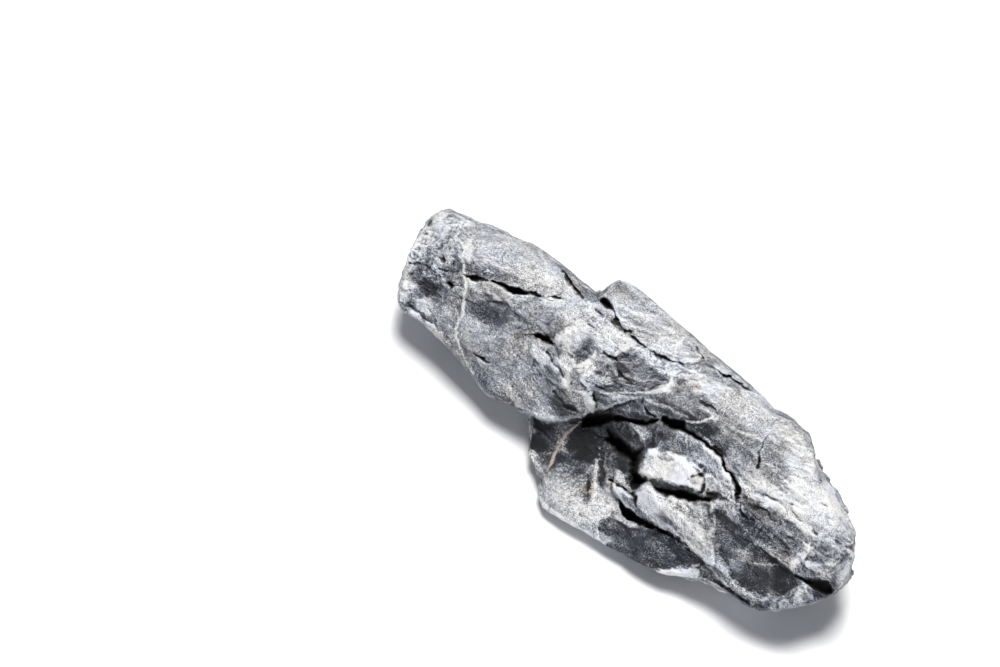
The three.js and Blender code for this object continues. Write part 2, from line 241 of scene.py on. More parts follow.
# %% The cleaved faces
# A front facet is a plane the face can't rise above: its place, its height there, its two slopes.
FRONT_FACETS = [
    (-75, 16, 28, 0.03, -0.5), (-75, 0, 28, 0.03, 0.16), (-75, -18, 23.5, 0.02, 1.1),
    (-104, 4, 22, 0.9, -0.15), (-40, 20, 28.5, 0, -0.55), (-10, 27, 25, 0.05, -0.85),
    (40, 24, 26, -0.02, -0.75), (74, 16, 26, -0.18, -0.8), (60, 4, 29, -0.1, -0.1),
    (100, 8, 21, -0.9, -0.25), (98, -12, 19, -0.9, 0.4), (76, -12, 23, 0.02, 0.75), (20, 5, 30, 0, 0.14),
    (-4, -34, 17, -0.1, 0.3), (0, -46, 12, -0.1, 1.1), (40, -36, 10.5, 0, 1.0),
]
# A hidden facet passes through a point and faces a yaw and an elevation, in degrees.
HIDDEN_FACETS = [
    ((-86, 28, 45), -12, 12), ((-60, 30, 20), -4, -20), ((0, 40, 51), 2, 10), ((20, 38, 14), 10, -30),
    ((81, 30, 45), 20, 4), ((98, 20, 16), 40, -25), ((112, -4, 10), 100, -35), ((85, -28, 6), 150, -36),
    ((0, -45, 4), 180, -50), ((-84, -23, 5), 215, -38), ((-116, 2, 14), -75, -28),
]
print(len(FRONT_FACETS), "facets on the face and", len(HIDDEN_FACETS), "hidden ones")


def cleave(points):
    for place, yaw, elevation in HIDDEN_FACETS:
        turn, tip = math.radians(yaw), math.radians(elevation)
        normal = np.array([math.sin(turn) * math.cos(tip), math.cos(turn) * math.cos(tip), math.sin(tip)])
        out = (points - np.array(place)) @ normal
        points -= np.outer(np.maximum(out, 0), normal)
    return points


# %% The net of points round a block
# points along the stone, across it, and through it
COLUMNS, ROWS, LAYERS = 470, 165, 84

lattice = np.full((COLUMNS + 1, ROWS + 1, LAYERS + 1), -1)
skin = np.zeros(lattice.shape, bool)
skin[[0, -1], :, :] = skin[:, [0, -1], :] = skin[:, :, [0, -1]] = True
lattice[skin] = np.arange(skin.sum())
block = (np.argwhere(skin) / (COLUMNS, ROWS, LAYERS)) * 2 - 1


def cells(sheet, flip):
    corners = [sheet[:-1, :-1], sheet[1:, :-1], sheet[1:, 1:], sheet[:-1, 1:]]
    quads = np.stack([c.ravel() for c in corners], axis=1)
    return quads[:, ::-1] if flip else quads


quads = np.concatenate([
    cells(lattice[:, :, -1], False), cells(lattice[:, :, 0], True),
    cells(lattice[:, 0, :], False), cells(lattice[:, -1, :], True),
    cells(lattice[-1, :, :], False), cells(lattice[0, :, :], True),
])
print(len(block), "points in the net,", len(quads), "cells")


# %% Rounding the block off
def rounded(block):
    """Each point's place along the stone, the slant of its end there, and its place round the section."""
    x, y, z = block.T
    which = (x >= 0).astype(int)
    tip, closing, power, slant = (np.array(ENDS[key])[which] for key in ("s", "closing", "power", "slant"))
    reach = np.maximum(abs(y), abs(z))
    capped = abs(x) > 1 - 1e-6
    insets = [closing * (1 - 0.5 ** (1 / power)) for closing, power in zip(ENDS["closing"], ENDS["power"])]
    flat = np.interp(x, (-1, 1), (ENDS["s"][0] + insets[0], ENDS["s"][1] - insets[1]))
    inset = abs(flat - tip)
    left_over = np.clip(1 - inset / closing, 0, 1)
    ring = np.where(capped, reach * 0.5 ** (1 / power), (1 - left_over ** power) ** (1 / power))
    inset = np.where(capped, closing * (1 - (1 - ring ** power) ** (1 / power)), inset)
    u = np.divide(y, reach, out=np.zeros_like(y), where=reach > 0)
    v = np.divide(z, reach, out=np.zeros_like(z), where=reach > 0)
    c = u * np.sqrt(1 - v * v / 2)
    n = v * np.sqrt(1 - u * u / 2)
    cosine = np.sign(c) * abs(c) ** (2 / SECTION_POWER) * ring
    sine = np.sign(n) * abs(n) ** (2 / SECTION_POWER) * ring
    return tip - np.sign(tip) * inset, slant, 1 - smooth(inset, 0, 2 * closing), cosine, sine


def section_height(from_middle):
    return np.clip(1 - from_middle ** SECTION_POWER, 0, 1) ** (1 / SECTION_POWER)


s, slant, near_end, cosine, sine = rounded(block)
print("rounded off, the net is", (s.max() - s.min()).round(1), "mm long")


# %% Wrapping the net round the stone
def spread_rows(s, cosine, sine, behind):
    """Lays the rows of the net between the two edges, and passes them gently under the slab's corner."""
    by_corner = (s > ROWS_EDGE[0][0]) & (s < ROWS_EDGE[-1][0])
    edge = profile(TOP_EDGE, s)
    rows = np.where(by_corner, np.minimum(profile(ROWS_EDGE, s), edge), edge)
    top = rows * (1 - behind) + profile(TOP_BEHIND, s) * behind
    bottom = profile(BOTTOM_EDGE, s) * (1 - behind) + profile(BOTTOM_BEHIND, s) * behind
    t = (top + bottom) / 2 + (top - bottom) / 2 * cosine
    outer = np.clip((t - OUTER_ROWS) / (rows - OUTER_ROWS), 0, 1)
    t += np.where(by_corner, outer ** 1.5 * (edge - rows) * (1 - behind), 0)
    true_sine = section_height(abs(2 * t - edge - bottom) / (edge - bottom))
    return t, (top + bottom) / 2, np.where(by_corner & (sine > 0), true_sine, sine)


def face_height(s, t, sine):
    height = profile(FRONT, s) * sine
    full = section_height(abs((t - SHOULDER["middle"]) / SHOULDER["half"]))
    by_slab = smooth(s, *SHOULDER["fades_in"]) * (s < SHOULDER["ends"]) * (t > SHOULDER["middle"])
    height = np.maximum(height, profile(FRONT, s) * full * (by_slab * smooth(sine, 0, 0.42)))
    for s0, t0, h0, rise_along, rise_across in FRONT_FACETS:
        plane = h0 + rise_along * (s - s0) + rise_across * (t - t0)
        height = np.minimum(height, np.maximum(plane, LEAST_FRONT * sine))
    return np.where(sine > 0, height, profile(BACK, s) * sine)


behind = smooth(-sine, 0, 0.3)
t, middle_line, sine = spread_rows(s, cosine, sine, behind)
axis_height = SPINE_RISE * s
s = s - slant * (t - middle_line) * near_end
h = axis_height + face_height(s, t, sine)
# 1 on the face and 0 on the flanks; 1 further in on the face; 1 along the outline that the face shows
face, inner_face = smooth(sine, 0.05, 0.4), smooth(sine, 0.2, 0.55)
outline_zone = (1 - smooth(sine, 0.15, 0.5)) * (1 - smooth(-sine, 0.08, 0.4))
flank = 1 - face
print("the body runs from s =", s.min().round(1), "to", s.max().round(1), "mm")

# %% [markdown]
# ## Cracks, ledges and hollows
# Water widens a crack along the rock's beds, and leaves a steep wall on its upper side and a worn slope
# below. Narrow cracks are drawn as strokes that change in width and depth on the way; wide openings and
# raised plates are drawn as outlines. All are shaken by noise, because nothing in a rock runs straight.
# Boolean cuts would do it too, but moving the net's own points keeps the stone closed, however many.

# %% Strokes and outlines
def nearby(shape, s, t, reach):
    low, high = np.min(shape, axis=0) - reach, np.max(shape, axis=0) + reach
    return (s > low[0]) & (s < high[0]) & (t > low[1]) & (t < high[1])


def off_segment(s, t, start, end):
    ds, dt = end[0] - start[0], end[1] - start[1]
    run = np.clip(((s - start[0]) * ds + (t - start[1]) * dt) / (ds * ds + dt * dt), 0, 1)
    side = np.where(ds * (t - start[1]) - dt * (s - start[0]) >= 0, 1, -1)
    return side * np.hypot(s - start[0] - ds * run, t - start[1] - dt * run), run


def by_stroke(stroke, s, t, reach=40):
    """How far each place is off a stroke, positive on its left, and how far along it, 0 to 1."""
    off, part = np.full(s.shape, float(reach)), np.zeros(s.shape)
    near = nearby(stroke, s, t, reach)
    lengths = [math.dist(a, b) for a, b in zip(stroke, stroke[1:])]
    best, where = off[near], part[near]
    done = 0
    for start, end, length in zip(stroke, stroke[1:], lengths):
        distance, run = off_segment(s[near], t[near], start, end)
        nearer = abs(distance) < abs(best)
        best = np.where(nearer, distance, best)
        where = np.where(nearer, (done + run * length) / sum(lengths), where)
        done += length
    off[near], part[near] = best, where
    return off, part


def inside(outline, s, t, reach=6):
    """How far each place lies inside an outline; outside it counts below zero."""
    depth = np.full(s.shape, -float(reach))
    near = nearby(outline, s, t, reach)
    a, b = s[near], t[near]
    closest, odd = np.full(a.shape, float(reach)), np.zeros(a.shape, bool)
    for start, end in zip(outline, outline[1:] + outline[:1]):
        closest = np.minimum(closest, abs(off_segment(a, b, start, end)[0]))
        rise = end[1] - start[1]
        crossing = start[0] + (end[0] - start[0]) * (b - start[1]) / (rise if rise else 1e-9)
        odd ^= ((start[1] > b) != (end[1] > b)) & (a < crossing)
    depth[near] = np.where(odd, closest, -closest)
    return depth


# places shaken by noise, on which every crack, ledge and hollow is drawn
form_s = s + wandering(0, s, t, 0, [(1.0, 9, 6, 2.5), (0.7, 3.1, 2.3, 7.5), (0.35, 1.3, 1.1, 3.5)])
form_t = t + wandering(0, s, t, 0, [(0.8, 8, 6, 12.5), (0.6, 2.9, 2.3, 17.5), (0.35, 1.3, 1.1, 13.5)])
print("the strokes are shaken by up to", abs(form_s - s).max().round(1), "mm")

# %% Narrow cracks
PILLAR_SIDE = [(0, -19), (4, -24), (9.8, -29.8)]
PILLAR_SLOT = [(2.5, -30.5), (5, -34.6), (8.3, -38.6)]
# stroke, half width along it, depth along it; lengths in mm, places along the stroke from 0 to 1
CRACKS = [
    ([(-100.5, -0.5), (-98, 1), (-94, 2.8)], [(0, 0.6), (1, 0.9)], [(0, 2), (0.5, 5), (1, 3)]),
    ([(-105.5, 2.4), (-101.5, 3.4)], [(0, 0.5), (1, 0.7)], [(0, 1.5), (0.5, 4), (1, 2)]),
    ([(-95.4, -3.6), (-92, -2.2), (-90, -1)], [(0, 0.6), (0.6, 1.3), (1, 0.7)], [(0, 2), (0.6, 6), (1, 2)]),
    ([(-91, 4), (-88, 4.9), (-84, 6.2), (-81, 7.8)], [(0, 0.6), (0.4, 0.8), (1, 0.4)],
     [(0, 4), (0.4, 6), (0.75, 2), (1, 1.4)]),
    ([(-62, 15.8), (-58, 17.6), (-54, 19)], [(0, 0.4), (1, 0.1)], [(0, 3), (1, 1)]),
    ([(-57.5, 19.2), (-54, 20.5), (-50.5, 21.5)], [(0, 0.5), (0.5, 0.8), (1, 0.3)],
     [(0, 2), (0.5, 4), (1, 1)]),
    ([(-112, -6), (-106, -3.6), (-101, -2.6)], [(0, 0.8), (0.6, 1.4), (1, 0.6)],
     [(0, 2), (0.6, 3), (1, 1)]),
    ([(-58.5, 30.8), (-54, 29), (-50, 28), (-45, 26.8)], [(0, 0.8), (0.3, 1.1), (1, 0.6)],
     [(0, 3), (0.4, 5), (1, 2)]),
    ([(-55, 31.9), (-50, 31.3), (-46, 31.4)], [(0, 0.3), (1, 0.3)], [(0, 1), (0.5, 2), (1, 1)]),
    ([(-67, -19.6), (-63, -18.8), (-59.5, -18.4)], [(0, 0.4), (0.5, 0.8), (1, 0.3)],
     [(0, 1), (0.5, 3), (1, 1)]),
    ([(-32, 30.3), (-28.5, 28.6)], [(0, 0.5), (1, 0.5)], [(0, 4), (1, 4)]),
    ([(-29, 27.4), (-25, 27), (-20.5, 27.6)], [(0, 1.1), (0.4, 0.8), (1, 0.9)],
     [(0, 3.6), (0.5, 3), (1, 3)]),
    ([(-19, 26.6), (-10, 26.9), (-3, 27.5), (0, 28.3), (3, 29.8), (6, 30.5)],
     [(0, 0.1), (0.6, 0.3), (1, 0.2)], [(0, 1.6), (0.6, 2.8), (1, 1)]),
    ([(-38, 26.6), (-34, 26.4)], [(0, 0.4), (1, 0.3)], [(0, 2), (1, 1)]),
    ([(5, 39.3), (7, 38.1), (10, 37.3), (10.6, 36.2)], [(0, 0.4), (1, 0.5)], [(0, 2), (0.5, 3), (1, 2)]),
    ([(18.6, 37), (21, 36.8), (24, 37.6), (29, 38.8), (36, 39.6)],
     [(0, 0.3), (0.2, 0.8), (0.5, 0.7), (1, 0.2)], [(0, 2), (0.3, 6), (1, 2)]),
    ([(-36, 19.2), (-33.5, 19.9)], [(0, 0.3), (1, 0.4)], [(0, 1), (1, 2)]),
    ([(-24.5, 14), (-22, 13.4), (-19.4, 14.2), (-17, 12.6), (-13, 11.3), (-8, 10.8)],
     [(0, 0.4), (0.2, 1.1), (0.4, 0.5), (0.7, 0.9), (1, 0.2)],
     [(0, 1), (0.2, 3), (0.4, 1.5), (0.7, 3), (1, 1)]),
    ([(-22.5, 0.2), (-19, 1.6), (-15, 2.4)], [(0, 0.4), (0.6, 0.9), (1, 0.5)], [(0, 1), (0.5, 2), (1, 1)]),
    ([(-17, -0.5), (-16, -3), (-14, -4.5)], [(0, 0.4), (1, 0.4)], [(0, 2), (1, 2)]),
    ([(-42, -0.5), (-38, -2.6), (-34, -3), (-31, -4.5)], [(0, 0.4), (0.5, 0.6), (1, 0.3)],
     [(0, 1), (0.5, 2), (1, 1)]),
    ([(0, 8.4), (3, 6.2), (6, 5.2), (10, 5.8)], [(0, 0.3), (1, 0.4)], [(0, 1), (0.5, 2), (1, 3)]),
    ([(34, 9.5), (41, 9.9), (43.5, 8.4), (47, 6.9), (51, 5.6), (54.5, 3.6), (57, 0.8), (58.5, -1.5)],
     [(0, 0.4), (0.3, 0.5), (0.4, 1), (0.6, 0.7), (0.8, 0.9), (1, 0.3)],
     [(0, 3), (0.4, 5), (0.8, 6), (1, 2)]),
    ([(51.5, 28), (52.4, 24), (53.2, 20.8), (55, 18.5), (55.8, 15.5)], [(0, 0.15), (0.5, 0.25), (1, 0.2)],
     [(0, 0.5), (0.25, 2.6), (0.45, 0.6), (0.7, 3), (1, 1.6)]),
    ([(20, 22.6), (24, 23.8), (29, 23.4)], [(0, 0.3), (0.6, 0.5), (1, 0.3)],
     [(0, 0.6), (0.5, 1.3), (1, 0.6)]),
    ([(36.3, -4.6), (38, -2.7), (41, -2), (43.2, -3.8), (44.2, -6.2), (43.4, -8.6)],
     [(0, 0.4), (0.4, 0.7), (1, 0.8)], [(0, 1.2), (0.3, 3), (0.5, 1.6), (1, 4)]),
    ([(36, 1.2), (37.2, 0.8)], [(0, 0.6), (1, 0.6)], [(0, 2), (1, 2)]),
    ([(39.2, 0.9), (40, 0.2)], [(0, 0.5), (1, 0.5)], [(0, 2), (1, 2)]),
    ([(10.5, -26.2), (17, -26), (23, -26.3), (26.5, -28.2)], [(0, 0.6), (0.6, 1), (0.85, 1.2), (1, 0.4)],
     [(0, 2), (0.6, 3), (0.9, 4), (1, 1)]),
    ([(-31, -12.4), (-24, -12.8), (-18, -12)], [(0, 0.5), (0.6, 0.9), (1, 0.7)],
     [(0, 1), (0.6, 2), (1, 2)]),
    (PILLAR_SIDE, [(0, 1.2), (0.5, 1.4), (1, 0.7)], [(0, 1), (0.5, 1.6), (1, 1)]),
    (PILLAR_SLOT, [(0, 0.6), (0.5, 1.2), (1, 0.6)], [(0, 0.6), (0.5, 1.2), (1, 0.6)]),
    ([(73, -3), (73.4, -7.5), (76, -10.8), (83, -10.4), (92, -9.6)], [(0, 0.2), (0.3, 0.3), (1, 0.2)],
     [(0, 1), (0.4, 1.8), (1, 0.6)]),
    ([(60, 0), (61.5, -2.6), (65, -3.6), (68, -3)], [(0, 0.2), (0.5, 0.5), (1, 0.2)],
     [(0, 1), (0.5, 1.8), (1, 1)]),
    ([(66, 2.4), (70, 3), (74, 1.4)], [(0, 0.2), (0.5, 0.3), (1, 0.2)], [(0, 0.6), (0.5, 1.2), (1, 0.6)]),
    ([(62, 7), (66, 8.4), (70, 8.8)], [(0, 0.2), (0.4, 0.3), (1, 0.2)], [(0, 0.6), (0.4, 1.2), (1, 0.6)]),
    ([(76, 12), (80, 13), (84, 13.2)], [(0, 0.2), (0.4, 0.4), (1, 0.2)], [(0, 0.6), (0.4, 1.4), (1, 0.6)]),
    ([(86, 20), (89, 20.6)], [(0, 0.4), (1, 0.4)], [(0, 1.2), (1, 1.2)]),
    ([(101, 12), (106, 11.6)], [(0, 0.2), (1, 0.3)], [(0, 1), (1, 1.4)]),
    ([(90.6, 9), (92.4, 8.6)], [(0, 0.5), (1, 0.5)], [(0, 1.6), (1, 1.6)]),
    ([(76, -18.6), (80, -20), (84, -20.4)], [(0, 0.2), (1, 0.2)], [(0, 0.5), (0.5, 1), (1, 0.5)]),
    ([(52, -28.4), (58, -29), (66, -29.4)], [(0, 0.4), (1, 0.4)], [(0, 2), (1, 1)]),
    ([(-104.5, -20.6), (-97, -20.4), (-89, -20.4)], [(0, 0.3), (0.5, 0.4), (1, 0.2)],
     [(0, 0.8), (0.5, 1.4), (1, 0.8)]),
]
print(len(CRACKS), "narrow cracks")


# %% The section of a crack
def crack(s, t, stroke, width, depth, jags, wall=0.2):
    off, part = by_stroke(stroke, s, t, 6)
    half = profile(width, part) * jags
    steep, worn = smooth(off, 0.4 * half, half + wall), smooth(-off, 0, 1.4 * half + wall)
    return np.where(off > 0, 1 - steep, 1 - worn) * profile(depth, part) * np.sqrt(jags)


sample = crack(np.zeros(9), np.linspace(-2, 2, 9), [(-9, 0), (9, 0)], [(0, 1), (1, 1)], [(0, 5), (1, 5)], 1)
print("depths across a crack of 2 x 5 mm, every 0.5 mm:", sample.round(1))

# %% Wide openings
# outline, depth in mm, width of the wall
OPENINGS = [
    ([(-80.6, 8.8), (-78, 9.9), (-74, 11.8), (-70, 13.6), (-65, 15.4), (-59.5, 17.2), (-63, 15), (-66, 12),
      (-70, 10), (-75, 9.2), (-79, 8.6)], 9, 1.4),
    ([(-53.5, 1.4), (-49, 3.6), (-46, 4.8), (-42.6, 5.2), (-42.2, 3.2), (-46, 1.7), (-50, 0.8)], 7, 1.2),
    ([(-38.8, 30.2), (-38.2, 32.2), (-33.6, 32.3), (-32.2, 31.4), (-31, 29.9), (-34, 29.5)], 7, 0.9),
    ([(-14.8, -13), (-13.2, -9.6), (-10, -6.9), (-5, -3.9), (0, -1.6), (4, 0.9), (8, 3.2), (11.2, 6.4),
      (12, 4.8), (9.6, 1.6), (5, -1.6), (-1, -4.2), (-4, -8), (-8, -13), (-13, -16)], 10, 1.6),
    ([(-5, -9.6), (4, -9.4), (11, -9.9), (13.8, -6.4), (15.2, -12), (18, -17), (24.6, -17), (23, -21),
      (20, -25), (16.5, -20.5), (12, -15.6), (5, -16.4), (-2, -15)], 13, 2.6),
    ([(11.6, 5.6), (12, 8.4), (16, 10.4), (20.6, 12.6), (22.4, 10.8), (30, 10.4), (36, 10.2), (36, 9.4),
      (26, 8.9), (22, 7.8), (19, 5.8), (15, 4.4)], 8, 1.3),
    ([(36, 9.8), (37, 11.8), (41, 12), (42.6, 10.6), (41.4, 9.6)], 2.4, 1),
    ([(24.4, -17), (27, -17), (30, -15.4), (33.4, -13), (36.4, -10.6), (40, -9.4), (44, -8), (50, -5.6),
      (48.6, -8.6), (44.6, -12.2), (40, -15.2), (34, -17.8), (27, -18.8)], 8, 1.8),
    ([(45, -4.4), (50, -3.6), (50.6, -6), (46, -7)], 3, 1.2),
    ([(18.6, -30.4), (22.5, -31.4), (30, -30.7), (34, -29.6), (39, -28.5), (45, -29), (55, -29.3),
      (64, -29.3), (64, -29.6), (55, -29.8), (45, -29.9), (39, -31.2), (34, -33.1), (30, -34.4),
      (27, -35.2), (23, -35.4), (21, -33)], 7, 1.3),
    ([(96, -9.4), (101, -8.4), (104, -6), (108, -4.4), (111.4, -4), (115, -6), (115, -8), (112, -10.2),
      (107, -10.8), (103, -11.2), (97, -10.8)], 6, 1.8),
]
print(len(OPENINGS), "wide openings, the deepest", max(depth for _, depth, _ in OPENINGS), "mm")

# %% Plates and hollows
SLAB = [(-39, 31.5), (-39, 46), (48, 46), (44, 40), (37, 39.4), (24, 38), (18, 37.2), (11, 36.4), (6, 31),
        (3, 30), (0, 28.2), (-10, 26.9), (-20, 27), (-29, 28.6), (-32, 31)]
WEDGE = [(-19.6, 13.4), (-18.6, 17), (-15.5, 21), (-10, 22.4), (-3, 22), (4, 21.6), (5, 19), (1, 14),
         (-3, 11), (-8, 10.8), (-15, 11.6)]
STRATUM = [(-16.5, -2), (-14, 0.6), (-6, 3.6), (0, 7.4), (9, 11.6), (20, 14.6), (27, 19), (30, 20),
           (38, 17.5), (46, 13), (43, 11), (36, 12), (22, 12), (13, 8.4), (9, 4), (0, -1), (-8, -5.4),
           (-12, -8)]
BLOCK = [(12.4, 5), (13, 1), (17, -3), (26, -2), (34, -0.6), (44, -2), (50, -3.4), (56.6, -2), (57, 0.6),
         (54, 3.6), (50, 5.5), (46, 7), (42, 9), (30, 9), (22, 8.4), (18, 6.4)]
LUMP = [(16, -5.6), (19, -3.4), (22.4, -3), (25, -1.4), (29, -0.6), (34, -0.8), (37, -2.2), (42, -2.2),
        (44.4, -5), (43.4, -8), (39, -9), (35.6, -10), (32.4, -12.4), (29, -14.8), (25.6, -16.4), (18.4, -17),
        (16.6, -14), (15, -9)]
SHELF = [(10, -21.4), (16, -20.6), (20, -24.6), (24.4, -19), (31, -18.7), (38, -16.7), (44, -12.8), (50, -9),
         (54, -14), (58, -19), (63, -22.6), (67, -27.6), (65, -29.4), (45, -29.4), (39, -28.6), (30, -31),
         (22, -31.6), (14, -29)]
DARK_FLANK = [(31, -33.4), (40, -31), (64, -30), (63, -33), (59, -35), (57, -38.6), (52, -42), (44, -47),
              (24, -51), (20, -46.4), (18, -42), (20, -39), (29, -37.2), (31.6, -35.4)]
BLUE_FACET = [(54, -9), (62, -8), (70, -9), (76, -11.5), (84, -10.8), (97, -10.6), (100, -14), (97, -21),
              (92, -26), (84, -28.4), (76, -27.6), (69, -25), (64, -21), (58, -17.6), (53, -13)]
CHIP = [(100.6, -16), (103.6, -11.6), (106, -13.4), (109.4, -14.6), (107, -19), (104, -22.6), (100, -25.8),
        (98.4, -24), (101, -20)]
WHITE_CORNER = [(50, -45), (53, -41.3), (58, -38.3), (60, -34.8), (63, -33), (66, -38), (60, -43)]
# outline, rise in mm, slope along, slope across, width of the edge
PLATES = [
    (SLAB, 0.9, 0, 0.02, 0.5), (WEDGE, -1.6, 0.03, 0.12, 1.8), (STRATUM, -0.9, 0, 0.1, 0.4),
    (BLOCK, 1.2, 0, 0.06, 0.6), (LUMP, 3.0, 0, 0, 1.6), (SHELF, 1.6, 0, -0.28, 0.6),
    (DARK_FLANK, -0.7, 0, 0, 0.5), (BLUE_FACET, -1.0, 0, 0, 0.8), (CHIP, 1.2, 0, 0, 0.5),
    (WHITE_CORNER, 0.8, 0, 0, 0.4),
    ([(-4, -4.8), (1, -3.4), (7, -3), (12, -4.4), (13.4, -7.6), (11, -9.2), (4, -9), (-3, -8.8)], -0.8, 0,
     0.28, 1.2),
    ([(-112, -1), (-104, 3), (-94, 3.4), (-91, 1), (-96, -3), (-104, -4)], 0.9, 0, 0, 0.6),
    ([(-82, 7), (-76, 8.6), (-67, 10.2), (-64, 11), (-66, 6), (-74, 3.8), (-82, 3.4)], 0.7, 0, 0, 0.6),
    ([(97, 17), (102, 17), (104.6, 12), (105, 5), (103, 0), (98, -3), (97, 6)], -0.5, 0, 0, 1.0),
    ([(106, 17), (107, 11), (107, 4), (105, -1), (110, -4), (118, -2), (118, 12)], 0.9, 0, 0, 0.5),
    ([(58, 5), (72, 9), (94, 8), (94, 2), (84, 1), (72, 5), (62, 1)], 0.8, 0, 0, 0.5),
    ([(-44, -1), (-31, -3.6), (-28, -8), (-40, -9), (-52, -5)], 0.7, 0, 0, 0.5),
    ([(-62, -12), (-46, -11), (-34, -14), (-44, -19), (-62, -17)], 0.6, 0, -0.03, 0.5),
    ([(-90, -9), (-74, -8), (-66, -12), (-70, -18), (-88, -17)], 0.5, 0, 0, 0.6),
]
print(len(PLATES), "plates, and", sum(form[1] < 0 for form in PLATES), "of them are sunk")

# %% Ridges, steps and swellings
PILLAR_RIDGE = [(1, -24), (4.8, -28.6), (7.6, -33), (9.4, -38)]
# stroke, rise in mm, half width
RIDGES = [
    ([(57, -18.6), (62, -21.6), (67, -26.6), (75, -29.2), (80, -30.6), (88, -29.6), (93, -27)], 1.3, 1.5),
    (PILLAR_RIDGE, 0.7, 1.3), ([(3, -17), (7, -19.4), (11, -23.4)], 0.6, 1.4),
    ([(-42.6, 6), (-42, 11), (-39.6, 15.4), (-35.6, 17.8), (-31, 18)], 0.7, 1.9),
    ([(-30, -8), (-20, -4), (-12, 0), (-4, 4.4)], 0.6, 0.7), ([(-9, 21.8), (0, 23), (14, 21.4)], 0.7, 1.3),
    ([(50, -9), (55, -12), (58, -17)], 0.8, 1.0),
    ([(-31, -25), (-24, -23), (-19, -19), (-15, -13)], 0.8, 1.2),
    ([(22, -37.4), (27, -36.8), (31, -35)], 1.0, 0.9),
    ([(-20, -41), (-12, -43), (-6, -40), (4, -39)], 0.6, 1.4),
]
# stroke, drop in mm on its right, width of the edge, distance to climb back
STEPS = [
    ([(-36, -26), (-29, -24.6), (-24, -22.4), (-19.4, -18.6), (-15.4, -13)], [(0, 6), (1, 9)], 0.8, 30),
    ([(58, 1), (66, -1), (74, -1), (94, -4)], [(0, 1), (0.5, 2), (1, 1)], 0.8, 12),
    ([(76, -11), (84, -10.6), (97, -10)], [(0, 1), (0.5, 2), (1, 2)], 0.6, 16),
    ([(-46, 22), (-30, 20), (-20, 19)], [(0, 0), (0.5, 1.2), (1, 1)], 0.8, 9),
    ([(-88, 1.5), (-78, 3), (-66, 4), (-56, 6)], [(0, 0), (0.4, 1.5), (1, 0)], 1.2, 9),
    ([(62, -29), (72, -31.4), (84, -31.8), (96, -29)], [(0, 1), (0.3, 4), (1, 2)], 0.7, 16),
]
# place, half length, half width, turn in degrees, rise in mm, bluntness
SWELLINGS = [
    (-71, -3, 15, 5, 3, -4.2, 2), (-98, -8, 7, 4.5, 20, -4, 2), (-106, 12, 9, 9, 0, 2, 2),
    (-37, 10, 8.5, 8, 0, 3.2, 3), (-32, 11.5, 3, 4, 0, -2, 2), (-26, 3, 7, 6, 0, 1.5, 2),
    (-2, -12, 13, 7, -5, -6, 3), (-8, -22, 11, 9, 0, -5.2, 2), (19, -21, 4, 4, 0, -4, 2),
    (38, -21.5, 24, 4, -4, 4.5, 2), (82, -29, 18, 3.5, -3, 2.5, 2), (76, -16, 16, 8, -8, -3, 2),
    (4, -42, 9, 8, 0, 2.5, 2), (62, 33, 12, 7, 0, 2.0, 2), (103, 8, 7, 9, 0, 2.5, 3),
    (103, -17, 5, 7, 0, 2.5, 3), (-48, 8, 7, 5, 10, -1.2, 2), (12, 17, 6, 4, 0, -1, 2),
    (31, 15, 4, 3.4, 0, -1.4, 3),
]
print(len(RIDGES), "ridges,", len(STEPS), "steps and", len(SWELLINGS), "swellings")

# %% The shapes of swellings, steps, plates and beds
BED = {"thickness": 12, "dip": -0.12, "waviness": 4, "rise": 1.2}


def in_patch(s, t, s0, t0, length, width, turn):
    """The square of how far each place is from a turned oval's middle: 1 on the oval."""
    c, n = math.cos(math.radians(turn)), math.sin(math.radians(turn))
    a = ((s - s0) * c + (t - t0) * n) / length
    b = ((t - t0) * c - (s - s0) * n) / width
    return a * a + b * b


def swelling(s, t, *form):
    *oval, rise, power = form
    return rise * np.exp(-(in_patch(s, t, *oval) ** (power / 2)))


def step(s, t, stroke, drop, edge, fade):
    off, part = by_stroke(stroke, s, t)
    return -profile(drop, part) * smooth(-off, -edge, edge) * (1 - smooth(-off, edge, fade))


def plate(s, t, outline, rise, rise_along, rise_across, edge):
    s0, t0 = np.mean(outline, axis=0)
    height = rise + rise_along * (s - s0) + rise_across * (t - t0)
    return height * smooth(inside(outline, s, t), -edge, edge)


def terraces(s, t):
    bed = (t + BED["dip"] * s + BED["waviness"] * noise(s / 42, t / 25, 4.2)) / BED["thickness"]
    part = bed - np.floor(bed)
    strength = np.clip(0.55 + noise(s / 45, t / 30, 8.7), 0, 1)
    return BED["rise"] * strength * (smooth(part, 0, 0.25) - part)


print("a bed every", BED["thickness"], "mm, with an edge of up to", BED["rise"], "mm")

# %% All of the relief
# how much less ragged a crack is where it meets the outline
CALM_OUTLINE = 0.7
depthwise = flank * h
ragged = wandering(1, s, t, depthwise, [(0.9, 2.6, 2.2, 40.5), (0.6, 1.2, 1, 43.5)])
ragged = 1 + (np.clip(ragged, 0.25, 1.8) - 1) * (1 - CALM_OUTLINE * outline_zone)
# the second measure is painted shade: the rock just above each crack and opening is darkened as if in shadow
recess, painted_overhang_shade = np.zeros(len(s)), np.zeros(len(s))
for form in CRACKS:
    recess = np.maximum(recess, crack(form_s, form_t, *form, ragged))
    painted_overhang_shade = np.maximum(painted_overhang_shade, crack(form_s, form_t - 0.9, *form, ragged) / 3)
for outline, depth, wall in OPENINGS:
    within = inside(outline, form_s, form_t) + 0.5 * (ragged - 1)
    recess = np.maximum(recess, depth * smooth(within, -0.3, wall))
    painted_overhang_shade = np.maximum(painted_overhang_shade, smooth(inside(outline, form_s, form_t - 1.6), -1.8, 1.2))
painted_overhang_shade = np.clip(painted_overhang_shade, 0, 1) * face
carved = terraces(s, t) - recess * inner_face
for form in SWELLINGS:
    carved += swelling(form_s, form_t, *form)
for form in STEPS:
    carved += step(form_s, form_t, *form)
for form in PLATES:
    carved += plate(form_s, form_t, *form)
